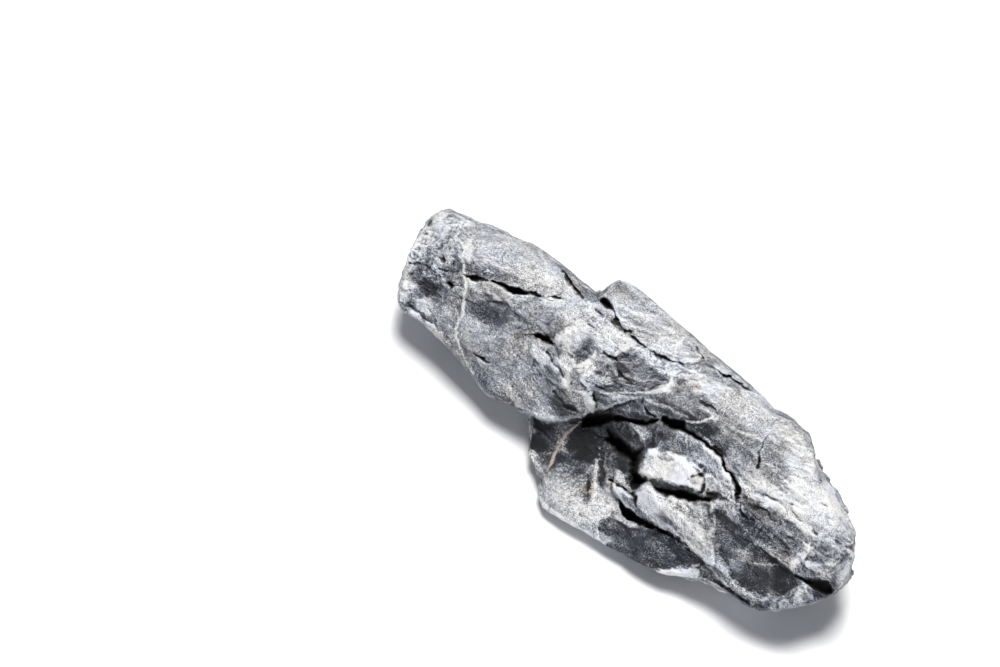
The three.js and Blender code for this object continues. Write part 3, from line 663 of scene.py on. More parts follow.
for stroke, rise, half in RIDGES:
    carved += rise * np.exp(-(by_stroke(stroke, form_s, form_t, 12)[0] / half) ** 2)
carved *= face
recess *= face
print("the relief goes from", carved.min().round(1), "to", carved.max().round(1), "mm")

# %% [markdown]
# ## From the face frame to the stone
# The body, its relief and three sizes of broad noise make the stone as the solid has it. The underside
# keeps flat patches at the height of the ground, so that the stone rests there. Cutting it off flat
# would rest as well, but no loose stone has a sawn base.

# %% The carved stone
# size of the lumps, how far they rise from the face, how far they wander behind it, all in mm
LUMPS = [(40, 3, 1.2), (17, 1.7, 1.2), (8, 0.9, 0.8)]
h = h + carved
points = cleave(from_face(s, t, h))
for i, (size, rise, wander) in enumerate(LUMPS):
    a, b, c = s / size * 0.6 + 7.3 * i, t / size + 3.1, h / size + 1.7
    points += np.outer(rise * noise(a, b, c), outward)
    points += np.outer(wander * noise(a + 31.7, b, c) * behind, along)
    points += np.outer(wander * noise(a, b + 47.3, c) * behind, across)
# how high above the ground each place of the underside stays; most of it is well clear, some lies flat
clearance = np.maximum(0, 4 * noise(points[:, 0] / 30, points[:, 1] / 18, 9.5) - 0.4)
points[:, 2] = np.maximum(points[:, 2], clearance)


def normals(points):
    a, b, c, d = (points[quads[:, i]] for i in range(4))
    face_normals = np.cross(c - a, d - b)
    total = np.zeros_like(points)
    for i, axis in itertools.product(range(4), range(3)):
        total[:, axis] += np.bincount(quads[:, i], face_normals[:, axis], len(points))
    return total / np.maximum(np.linalg.norm(total, axis=1, keepdims=True), 1e-9)


print("carved:", points.min(0).round(1), "to", points.max(0).round(1), "mm")

# %% [markdown]
# ## Weathering
# Between the large forms the skin is never smooth. Limestone breaks in small scoops with sharp ridges
# between, its beds stand out as fine ribs along the stone, and acid water leaves pits. Each is noise at
# its real size, and each is strong in some places and faint in others. A Displace modifier could add one
# such texture, but it couldn't tell the quiet ground from the broken.

# %% Where the rock is rough
# how far the beds have climbed across the face, along the stone
BED_CLIMB = [(-117, 0), (-50, 10.5), (-25, 10.5), (20, 22), (50, 24), (116, 36)]
# place, half length, half width, turn, strength of the broken ground
BROKEN = [(66, 0, 11, 6, 0, 1), (85, -5, 12, 4, -3, 0.8), (-22, -4, 9, 5, 20, 0.5), (20, -8, 4, 9, 0, 0.6),
          (12, -22, 9, 5, -40, 0.7), (3, -38, 9, 6, 0, 0.5), (47, -7, 5, 3, 0, 0.6),
          (-104, 0, 10, 22, 0, 0.5), (3, -5.6, 9, 3, 0, 1), (-5, -17, 12, 6, -10, 0.6),
          (-33, 9, 4, 5, -20, 0.5)]
# place, half length, half width, turn of the quiet ground, which rain has worn smooth
QUIET = [(-42, 23, 21, 4, -2), (-72, -3, 13, 6, 3), (-80, 22, 20, 7, 8), (-50, -13, 16, 7, -4),
         (34, 31, 20, 6, 0), (80, 19, 14, 6, -8), (-36, 11, 8, 7, 0)]
bed_s = s + 2 * noise(s / 11, t / 7, h / 9)
bed_t = t - profile(BED_CLIMB, s) + 1.5 * noise(s / 9, t / 6, h / 8 + 5)
patchy = np.clip(0.3 + 0.8 * noise(s / 23, t / 15, h / 15 + 3), 0.05, 0.9)
knobbly = np.maximum(smooth(-s, 90, 104), 0.5 * smooth(s, 90, 100))
calm = np.maximum.reduce(
    [smooth(inside(outline, form_s, form_t), -1, 2) for outline in (SLAB, STRATUM, BLUE_FACET, DARK_FLANK)]
    + [swelling(form_s, form_t, *oval, 1, 4) for oval in QUIET])
rough = (patchy + 0.6 * knobbly + 0.9 * flank) * (1 - 0.65 * calm * face)
broken = np.zeros(len(s))
for *oval, strength in BROKEN:
    broken = np.maximum(broken, strength * swelling(form_s, form_t, *oval, 1, 4) * face)
print("roughness from", rough.min().round(2), "to", rough.max().round(2))


# %% Scoops, flakes, ribs and pits
def in_beds(length, width):
    """Places for noise whose features are so many mm long along the beds and so wide across them."""
    return bed_s / length, bed_t / width, h / width


bumps = 1.1 * (scoops(*in_beds(15, 8), 0) - 0.25) * rough
bumps += 0.5 * (scoops(*in_beds(6.5, 4), 40) - 0.25) * rough
bumps += 1.2 * flakes(*in_beds(15, 7), 140) * (0.25 + rough)
bumps += 0.7 * flakes(*in_beds(7, 3.2), 180) * (0.15 + rough)
bumps += (0.12 + 0.3 * rough + 0.6 * broken) * flakes(*in_beds(2.8, 1.7), 220)
fine_s, fine_t, fine_h = in_beds(14, 1.5)
ribs = 1 - abs(noise(*in_beds(24, 2.6))) - abs(noise(fine_s, fine_t, fine_h + 9)) * 0.6
bumps += 0.2 * (ribs - 0.4) * (1 - 0.7 * knobbly)
bumps += 0.16 * noise(*in_beds(1.5, 1.2)) * (0.4 + 0.6 * rough)
bumps -= 1.1 * pits(*in_beds(5.2, 4.2), 17, 0.16) * (0.1 + rough)
bumps -= 0.6 * pits(*in_beds(2.6, 2.2), 53, 0.18) * (0.1 + rough)
bumps -= 2.6 * pits(*in_beds(13, 8), 91, 0.14) * flank
print("the face's bumps go from", bumps.min().round(2), "to", bumps.max().round(2), "mm")

# %% [markdown]
# ## The flanks
# A rock is looked at from all sides, so its flanks need cracks, beds and broken faces of their own. The
# face's map doesn't reach round there. The flanks are drawn in s and w instead, which is how far a place
# stands out from the stone's own axis.

# %% Where the flanks are cracked
# half width and depth along a crack, then the strokes that cross the upper and the lower flank
LONG = ([(0, 0.2), (0.4, 1.1), (0.7, 0.5), (1, 0.2)],
        [(0, 0.4), (0.15, 3), (0.3, 1.2), (0.5, 5), (0.68, 1.6), (0.85, 3.2), (1, 0.3)])
SHORT = ([(0, 0.2), (0.5, 0.7), (1, 0.2)], [(0, 0.3), (0.4, 3.4), (0.7, 1.4), (1, 0.3)])
UPPER_FLANK = [
    ([(-84, 4), (-66, 0), (-48, -5), (-24, -3), (2, -11)], *LONG),
    ([(8, 7), (26, 3), (44, -1), (60, -2), (78, -8)], *LONG),
    ([(-64, -19), (-36, -25), (-6, -22), (14, -27), (34, -31)], *LONG),
    ([(-20, -5), (-14, -15), (-17, -24)], *SHORT), ([(46, -2), (54, -12), (51, -22), (62, -30)], *SHORT),
    ([(-100, -2), (-88, -10), (-78, -12)], *SHORT), ([(76, 8), (88, 2), (100, 2)], *SHORT),
    ([(-44, 6), (-38, -2), (-42, -12)], *SHORT),
]
LOWER_FLANK = [
    ([(-100, -9), (-78, -14), (-56, -12), (-38, -15)], *LONG),
    ([(-20, -18), (6, -22), (30, -18), (54, -20)], *LONG), ([(60, -8), (78, -12), (98, -8)], *SHORT),
    ([(-70, -4), (-64, -12), (-67, -24)], *SHORT), ([(40, -8), (46, -18), (42, -30)], *SHORT),
]
print(len(UPPER_FLANK) + len(LOWER_FLANK), "cracks on the flanks")

# %% Cracks, beds and broken faces of the flanks
w = h - SPINE_RISE * s
flank_s = wandering(s, s, w, 0, [(2.2, 17, 15, 2.5), (1.2, 6, 5, 7.5), (0.3, 3, 3, 3.5)])
flank_w = wandering(w, s, w, 0, [(2.0, 17, 15, 12.5), (1.2, 6, 5, 17.5), (0.3, 3, 3, 13.5)])
flank_jags = np.clip(wandering(1, s, w, 0, [(0.9, 8, 8, 21.5), (0.6, 3.5, 3.5, 24.5)]), 0.3, 1.8)
for cracks, side in ((UPPER_FLANK, t > 5), (LOWER_FLANK, t < -5)):
    for form in cracks:
        opened = crack(flank_s, flank_w, *form, flank_jags, 1.0) * side * flank
        recess = np.maximum(recess, 0.7 * opened)
        bumps -= opened
flank_bed = (w + 0.35 * t + 0.05 * s + 5 * noise(s / 40, t / 25, w / 25 + 9)) / 11
part = flank_bed - np.floor(flank_bed)
bumps += 2.2 * flank * np.clip(0.6 + noise(s / 35, w / 22, 5.1), 0, 1) * (smooth(part, 0, 0.15) - part)
bumps += 2.4 * flank * flakes(*in_beds(30, 15), 260)
bumps += 1.1 * flank * flakes(*in_beds(12, 6), 320)
print("the relief now runs from", bumps.min().round(2), "to", bumps.max().round(2), "mm")

# %% Moving the skin
# the share of the relief that is left out along the outline, where it would fray the silhouette
KEEP_OUTLINE = 0.62
bumps *= 1 - KEEP_OUTLINE * outline_zone
grounded = points[:, 2] < clearance + 0.05
points += normals(points) * np.where(grounded, 0, bumps)[:, None]
points[:, 2] = np.maximum(points[:, 2], clearance)
print("weathering moves the skin by", bumps.min().round(2), "to", bumps.max().round(2), "mm")

# %% [markdown]
# ## How sheltered each point is
# Dust gathers in hollows and wear brightens the ridges; the finish also paints shade into the hollows and
# light onto the ridges, so it needs to know which is which. Blender can measure that while it renders;
# measured here, it is the same wherever the mesh goes.
# A copy of the skin is smoothed step by step; a point that lies below the smoothed skin is in a hollow,
# and one above it is on a ridge. Three amounts of smoothing give three sizes of hollow.

# %% Measuring hollows
edges = np.concatenate([quads[:, [i, (i + 1) % 4]] for i in range(4)])
neighbours = np.bincount(edges[:, 0], minlength=len(points)).astype(float)


def smoothed(points, rounds):
    for _ in range(rounds):
        beside = points[edges[:, 1]]
        total = np.stack([np.bincount(edges[:, 0], beside[:, i], len(points)) for i in range(3)], axis=1)
        points = 0.3 * points + 0.7 * total / neighbours[:, None]
    return points


skin_normals = normals(points)
hollows = []
level = points
for rounds in (3, 14, 50):
    level = smoothed(level, rounds)
    hollows.append(((level - points) * skin_normals).sum(1))
print("deepest hollows against each smoothing:", [round(float(x.max()), 2) for x in hollows], "mm")

# %% [markdown]
# ## Light and dark rock
# Fresh limestone is dark blue-grey; weathering turns its raised parts pale. The patches of each are
# painted one over the other, from 0, dark, to 1, pale; a few dark ones, some below 0, are painted shade in
# the deep hollow, along the lower outline and beside ledges. Their edges are shaken as the cracks are. Vertex
# painting by hand would give the same, but a list of ovals, outlines and strokes can be read and changed.

# %% Patches of tone
# place, half length, half width, turn, tone, strength
PATCHES = [
    (-78, 22, 32, 10, 8, 0.72, 0.9), (-92, 16, 9, 4, 8, 0.74, 0.7), (-104, 12, 9, 13, 0, 0.66, 0.9),
    (-113, 3, 5, 18, 8, 0.94, 0.9), (-103, 20, 4, 2, -40, 0.56, 0.6), (-96.6, 12.5, 2.8, 4, 0, 0.9, 0.9),
    (-88, 8.2, 8, 2.6, 12, 0.34, 0.85), (-76, 14.8, 9, 1.8, 14, 0.42, 0.7), (-87, 2, 6, 2, 5, 0.62, 0.8),
    (-94, 6.4, 4, 3.4, 0, 0.34, 0.8), (-95, 0.4, 5, 3, 0, 0.28, 0.85), (-74, 6.6, 10, 2.8, 12, 0.64, 0.9),
    (-74, -3.2, 9.6, 4.6, 3, 0.31, 0.95), (-86, -6, 5, 5, 0, 0.46, 0.8), (-98, -9, 5.5, 3.6, 20, 0.16, 0.9),
    (-106, -3.6, 5.5, 1.8, 12, 0.28, 0.85), (-96, -4, 5, 2.4, 0, 0.42, 0.8),
    (-106, -16, 4.6, 7, 0, 0.94, 0.85), (-95, -17, 3.6, 4, 0, 0.9, 0.9), (-87, -15.6, 5, 4.4, 0, 0.68, 0.8),
    (-72, -13, 12, 5.6, -5, 0.7, 0.9), (-60, -8, 8, 4, -5, 0.64, 0.85), (-60, -16, 9, 4, -5, 0.54, 0.85),
    (-75, -21.4, 12, 2.6, -5, 0.52, 0.8), (-92, -22, 13, 1.4, -3, 0.82, 0.85),
    (-97, -20.4, 8, 0.6, 0, 0.3, 0.8), (-59, -4.8, 8, 2.6, -8, 0.64, 0.85), (-56, 10, 10, 5, 8, 0.6, 0.85),
    (-54, 1.4, 5, 2.4, 20, 0.36, 0.7), (-48, 18, 13, 4, 5, 0.8, 0.85), (-62, 25, 8, 5, -30, 0.82, 0.7),
    (-52, 25, 15, 4, -5, 0.76, 0.85), (-52, 30, 12, 1.6, -4, 0.5, 0.8), (-30, 24, 18, 2.6, -3, 0.82, 0.9),
    (-38.4, 12, 5.6, 7, 0, 0.8, 0.85), (-33.6, 10, 3.4, 4.4, -20, 0.5, 0.8),
    (-30.6, 9, 2.6, 4.6, -20, 0.3, 0.85), (-46, -4, 8, 3.2, 0, 0.82, 0.85), (-34, 0, 4.4, 5, 0, 0.88, 0.85),
    (-24, -4.2, 5, 3, 20, 0.62, 0.85), (-20, 6, 8, 4, 10, 0.54, 0.85), (-26, 5, 3.4, 7, 0, 0.8, 0.75),
    (-27, 18.4, 7, 4, 0, 0.9, 0.85), (-52, -10, 12, 4, -5, 0.58, 0.8), (-40, -12, 12, 4, -5, 0.58, 0.8),
    # (-44, -28) on this line darkens the lower outline: painted shade
    (-44, -19, 16, 5.6, -2, 0.62, 0.85), (-56, -27, 8, 2, -8, 0.42, 0.8), (-44, -28, 7, 2.2, -4, 0.2, 0.85),
    (-24.6, -14, 8, 4.8, 0, 0.19, 0.9), (-36, -21.4, 7, 2.6, 0, 0.5, 0.7), (-34, -24.6, 9, 1, 5, 0.68, 0.8),
    (-7, 7.4, 9, 3.4, 15, 0.36, 0.85), (-10, 34, 30, 7, -3, 0.77, 0.95), (-8, 42.4, 34, 1.8, -3, 0.7, 0.9),
    (-36.4, 36, 2, 3.6, 0, 0.5, 0.8), (-34, 43, 5, 1.8, 0, 0.84, 0.8), (34, 37, 22, 5, -2, 0.81, 0.9),
    (14.6, 38, 3.4, 2, 0, 0.48, 0.85), (25, 36.4, 8, 1.8, 2, 0.48, 0.75), (28, 40.6, 12, 1, 0, 0.5, 0.85),
    (20, 31, 12, 3.4, 4, 0.86, 0.9), (34, 30, 12, 5, 4, 0.72, 0.85), (14, 24.6, 6, 2.2, 0, 0.64, 0.8),
    (8, 23, 1.6, 2.4, 0, 0.4, 0.8), (-2, 24.4, 9, 2, 4, 0.88, 0.85), (48, 30.6, 11, 5, 0, 0.76, 0.85),
    (8, 13.5, 7, 3, 12, 0.4, 0.85), (18, 18, 6, 2.6, 10, 0.5, 0.8), (24.5, 23.2, 5, 0.9, 5, 0.22, 0.9),
    (30, 21, 3.6, 1.2, 0, 0.92, 0.9), (5.6, 20, 1.4, 4, 0, 0.9, 0.85), (44, 19, 9, 4, -20, 0.46, 0.85),
    (-18, 22, 2.6, 3.4, 0, 0.88, 0.8),
]
# outline, tone, strength, softness
PAINTED_PLATES = [
    (WEDGE, 0.48, 0.9, 1.4), (STRATUM, 0.33, 0.9, 1.0), (BLOCK, 0.5, 0.9, 1.0), (SHELF, 0.76, 0.95, 1.0),
    (DARK_FLANK, 0.26, 0.95, 0.8), (BLUE_FACET, 0.24, 0.95, 1.5), (LUMP, 0.94, 1.0, 0.8),
    (CHIP, 0.7, 0.95, 0.6), (WHITE_CORNER, 0.88, 0.95, 0.6),
]
LATER_PATCHES = [
    (24.4, -4.2, 3.4, 2, 20, 0.4, 0.85), (17, -11, 2.2, 5.4, 10, 0.34, 0.85),
    (60, 8.4, 9, 4, 20, 0.84, 0.85), (40, -38, 12, 2.2, 5, 0.36, 0.8), (24, -41, 4, 2.4, 0, 0.38, 0.8),
    (50, -33.6, 9, 1.6, -3, 0.18, 0.8), (30, -45.4, 5, 1.4, 6, 0.42, 0.8), (52, -40, 4, 1.6, 30, 0.2, 0.8),
    (28, -9, 7, 2, -10, 0.98, 0.8), (31, -2, 4, 1.2, 0, 0.96, 0.7), (37.6, -6.6, 3, 1.6, 0, 0.72, 0.8),
    (22, -14.4, 3, 1.6, 0, 0.92, 0.7), (30, -13.4, 3, 1, 40, 0.66, 0.7), (14, 12.4, 9, 2.4, 14, 0.2, 0.85),
    (14.6, -3, 3, 4.4, 0, 0.18, 0.85), (104, -14, 1.6, 2, 0, 0.5, 0.7),
    (102.6, -20, 1.6, 2.4, -30, 0.56, 0.7), (-111, -8, 3, 4, 0, 0.84, 0.8),
    (-14.5, 13.4, 5, 2.2, 0, 0.14, 0.9), (-13, 0, 5, 3, 20, 0.34, 0.85), (26, 13.6, 8, 4, 5, 0.12, 0.9),
    (36, 15, 4, 2.6, 0, 0.44, 0.8), (46, 13, 6, 2.6, -20, 0.7, 0.85), (56, 12, 5, 4, -20, 0.7, 0.85),
    (16, 4.2, 5, 4.6, 0, 0.19, 0.9), (38, 0.9, 8, 2.6, 0, 0.86, 0.85), (48, 1.4, 6, 3, -22, 0.74, 0.85),
    (27, 5, 3.8, 3, -30, 0.36, 0.8), (15, -8, 3, 6, 0, 0.16, 0.9), (23.6, -4.4, 4, 2, 20, 0.44, 0.75),
    (20.4, -11.4, 1.8, 3.2, 20, 0.68, 0.7), (39.6, -5, 3, 2, 0, 0.6, 0.85),
    # the dark ovals from (5, 0.4) to (-16, -12) paint the shade of the deep hollow; the lowest go below 0 to
    # come out black
    (47.6, -7.2, 2.2, 1.6, 0, 0.14, 0.85), (5, 0.4, 8, 3.4, 25, 0.1, 0.95), (2, -13, 15, 8, 0, 0.04, 0.95),
    (4, -6, 10, 3, 0, 0.05, 0.95), (-8, -21, 9, 7, -20, -0.08, 0.95), (-3, -22.4, 8, 3.4, -10, -0.2, 0.95),
    (9, -16.8, 8, 3, -20, -0.06, 0.9), (19, -21, 4.4, 4, 0, 0.04, 0.9), (-16, -12, 3, 3, 0, 0.12, 0.8),
    (44, -25.5, 9, 1.6, -3, 0.5, 0.85), (56, -17, 6, 4, -30, 0.54, 0.85), (59, -24.4, 8, 4, -10, 0.7, 0.9),
    (47, -16.4, 5, 3, -30, 0.66, 0.8), (29, -23, 8, 3, -5, 1, 0.8), (55.4, -40.8, 6.4, 3.6, 36, 1.06, 0.95),
    (29, -29.6, 9, 1.9, -5, 0.28, 0.85), (45, -27.8, 8, 2.4, 0, 0.88, 0.85), (13, -34, 8, 5, 0, 0.86, 0.9),
    (5, -46, 14, 5.6, -3, 0.8, 0.9), (24, -48, 7, 1.6, 6, 0.7, 0.85), (-23, -29, 7, 5, -40, 0.26, 0.9),
    # (-24, -34.6), below 0, is painted shade on the lobe
    (-24, -34.6, 4.6, 3.6, 0, -0.1, 0.9), (-5, -31, 7, 5, 0, 0.3, 0.9), (-16, -34, 5, 5, 0, 0.26, 0.85),
    (-22.6, -38.4, 3, 1.4, -20, 0.84, 0.85), (-2, -39, 8, 2.6, 0, 0.62, 0.8),
    (7, -20.4, 4, 3, -40, 0.24, 0.8), (62, 34, 10, 5, -10, 0.8, 0.9), (62, 22, 7, 4, 0, 0.52, 0.85),
    (70, 28, 9, 7, -20, 0.88, 0.9), (83, 18, 17, 9, -10, 0.89, 0.95), (70, 10, 13, 3.6, 3, 0.98, 0.9),
    (67, 5.8, 7, 2, 12, 1, 0.85), (84, 7, 12, 3, 0, 0.96, 0.85), (100, 20, 8, 4, -25, 0.9, 0.8),
    (90, 24.6, 10, 3.4, -25, 1, 0.85), (66, 0.6, 9, 2.4, -3, 0.28, 0.9), (79, 4.2, 6, 1.4, 0, 0.36, 0.85),
    (86, -3.6, 9, 3, -3, 0.5, 0.85), (71, -6, 10, 2.8, -3, 0.14, 0.9), (56, -11, 5, 2.8, -20, 0.16, 0.85),
    (94, -4, 4, 4, 0, 0.68, 0.85), (94, 6, 3, 8, 0, 0.76, 0.85), (102, 12, 7, 8.4, 0, 0.75, 0.9),
    (102, 4, 4.4, 4, 0, 0.54, 0.85), (107.4, 8.6, 1.6, 2.8, 0, 0.28, 0.9),
    (113.4, 6, 3.4, 9, 0, 0.91, 0.85), (103, -3, 7, 2.4, 22, 0.8, 0.85), (110, -10.6, 6, 1.6, 0, 0.2, 0.85),
    (75, -17, 7, 3.2, 5, 0.72, 0.8), (83, -16, 7, 2.4, 14, 0.5, 0.8), (75, -22.4, 4, 3.6, 0, 0.62, 0.8),
    (63, -17, 5, 4, -30, 0.48, 0.8), (96, -25, 5, 2.4, -40, 0.6, 0.8), (64, -33, 5, 1.6, 20, 0.5, 0.8),
    # (84, -33) on this line is the painted shade of the lower outline, under the pale rim
    (84, -33, 14, 1.6, 4, 0.24, 0.9), (94, -17, 6, 3, -30, 0.08, 0.85), (93, -30, 6, 2, 35, 0.3, 0.85),
    (103, -22, 3.4, 3, -30, 0.46, 0.8), (92, -12, 9, 1.8, 0, 0.07, 0.85), (18, 26.2, 9, 1.8, 4, 0.9, 0.8),
    (-26, 31, 5, 2, 0, 0.9, 0.7), (-13, 31, 5, 2.6, 0, 0.64, 0.7), (-104, -8, 5, 4, 20, 0.3, 0.7),
    (26, 18.4, 5, 3, 10, 0.26, 0.9), (6, 18.8, 4, 2.6, 0, 0.84, 0.75), (-15, 1, 5, 3, 20, 0.17, 0.85),
    (68, 12.4, 12, 2, 3, 0.9, 0.8), (-25, 7, 3, 4, 0, 0.88, 0.7), (-14, 24.6, 8, 1.6, 0, 0.84, 0.8),
    (-104, 22, 6, 2, 30, 0.84, 0.8), (38, 4.6, 8, 2.4, 0, 0.72, 0.7), (14, -40.6, 6, 3, 0, 0.86, 0.8),
    (110, -9.6, 4, 1.2, 0, 0.5, 0.7), (45, -3.4, 4, 2.4, 0, 0.84, 0.8),
]
print(len(PATCHES) + len(LATER_PATCHES), "ovals and", len(PAINTED_PLATES), "outlines to paint")

# %% Strokes of tone
# stroke, half width, tone, strength
PAINTED_STROKES = [
    ([(-43, 5.6), (-42.4, 11), (-40, 15.6), (-36, 17.8), (-31, 18)], 1.2, 0.9, 0.6),
    ([(57, -18.6), (62, -21.6), (67, -26.6), (75, -29.2), (80, -30.8), (88, -29.8), (93, -27)], 0.8, 0.5,
     0.8),
    # PILLAR_SIDE is painted here as the shadow beside the pillar's ridge
    (PILLAR_RIDGE, 1.2, 0.8, 0.55), (PILLAR_SIDE, 1.6, 0.24, 0.7), (PILLAR_SLOT, 1.4, 0.34, 0.65),
    ([(34, 8.4), (42, 8.2), (50, 4.6), (56, 0.2)], 0.6, 0.88, 0.8),
    ([(50, -9.6), (54, -5), (57, -2)], 0.7, 0.84, 0.7), ([(53, -8), (58, -4.5), (64, -6)], 0.5, 0.7, 0.6),
    ([(-12, -50.6), (-4, -52.6), (4, -52.4), (10, -51.6), (24, -49.8)], 1.2, 1, 0.85),
    ([(-14, 0.6), (-6, 3.6), (0, 7.4), (9, 11.6), (20, 14.6)], 0.5, 0.74, 0.8),
    ([(-16, -6), (-8, -2.4), (0, 1.6), (8, 6.6)], 0.4, 0.55, 0.5),
    ([(-28, 25), (-10, 25.2), (4, 26.8), (20, 28.4)], 0.5, 0.86, 0.6),
    ([(22, 21.4), (40, 23), (52, 25.6)], 0.35, 0.8, 0.7),
    ([(109, 15), (110.4, 5), (109, -4)], 0.6, 0.84, 0.7),
    # this stroke is the painted shadow under the lump's lower edge
    ([(26, -15.8), (31, -13.8), (35, -11.6), (39, -10)], 1.9, 0.14, 0.9),
    ([(98, -3.4), (103, -0.6), (109, 4)], 0.5, 0.84, 0.7),
    ([(93.4, -8), (94, 2), (94.6, 11), (96, 18)], 1.3, 0.9, 0.85),
    ([(-34, -25.6), (-25, -23.4), (-20, -19.8), (-15.6, -14)], 0.7, 0.72, 0.8),
    ([(-94, 12), (-85, 14.4), (-76, 17)], 0.7, 0.76, 0.5),
    ([(-90, 20), (-80, 22.6), (-70, 24)], 0.7, 0.72, 0.5),
]
print(len(PAINTED_STROKES), "strokes to paint")


# %% Painting the tones
def patch_cover(s, t, *oval):
    return 1 - smooth(np.sqrt(in_patch(s, t, *oval)), 0.55, 1.25)


def paint_over(tone, value, cover):
    return tone + (value - tone) * cover


# the tone where nothing is painted, how far the painted tones are stretched, how dark the painted shade just
# above each crack and opening is
BARE_TONE, CONTRAST, OVERHANG_SHADE = 0.52, 1.22, 0.15
depthwise = flank * h
patch_s = wandering(s, s, t, depthwise, [(2.5, 12, 8, 21.5), (1.6, 4, 3, 25.5), (0.9, 1.6, 1.3, 28.5)])
patch_t = wandering(t, s, t, depthwise, [(1.8, 13, 7, 31.5), (1.1, 4, 3, 35.5), (0.8, 1.6, 1.3, 38.5)])
painted = np.full(len(s), BARE_TONE)
for *oval, value, strength in PATCHES:
    painted = paint_over(painted, value, strength * patch_cover(patch_s, patch_t, *oval))
for outline, value, strength, soft in PAINTED_PLATES:
    painted = paint_over(painted, value, strength * smooth(inside(outline, form_s, form_t), -soft, soft))
for *oval, value, strength in LATER_PATCHES:
    painted = paint_over(painted, value, strength * patch_cover(patch_s, patch_t, *oval))
for stroke, half, value, strength in PAINTED_STROKES:
    off = abs(by_stroke(stroke, form_s, form_t, 6)[0])
    painted = paint_over(painted, value, strength * (1 - smooth(off, 0.5 * half, half + 0.8)))
painted = 0.51 + CONTRAST * (painted - 0.5) - OVERHANG_SHADE * painted_overhang_shade
# the sides that aren't painted from the lists get their tones from noise
elsewhere = wandering(0.56, s, t, h, [(0.2, 28, 14, 0), (0.15, 9, 6, 0)])
elsewhere += 0.2 * flakes(*in_beds(24, 9), 400) + 0.14 * flakes(*in_beds(9, 4), 440)
seen = smooth(sine, -0.2, 0.12)
tone = painted * seen + elsewhere * (1 - seen)
print("tones from", tone.min().round(2), "to", tone.max().round(2))

# %% [markdown]
# ## Veins and stains
# Calcite grew in old fractures as thin white veins, here and there swollen to cream blocks. They cut
# straight through the beds. A vein is only about a millimetre wide, so its sharp edge isn't left to
# the net: each point stores how far it lies outside the nearest vein, and the finish draws the edge.

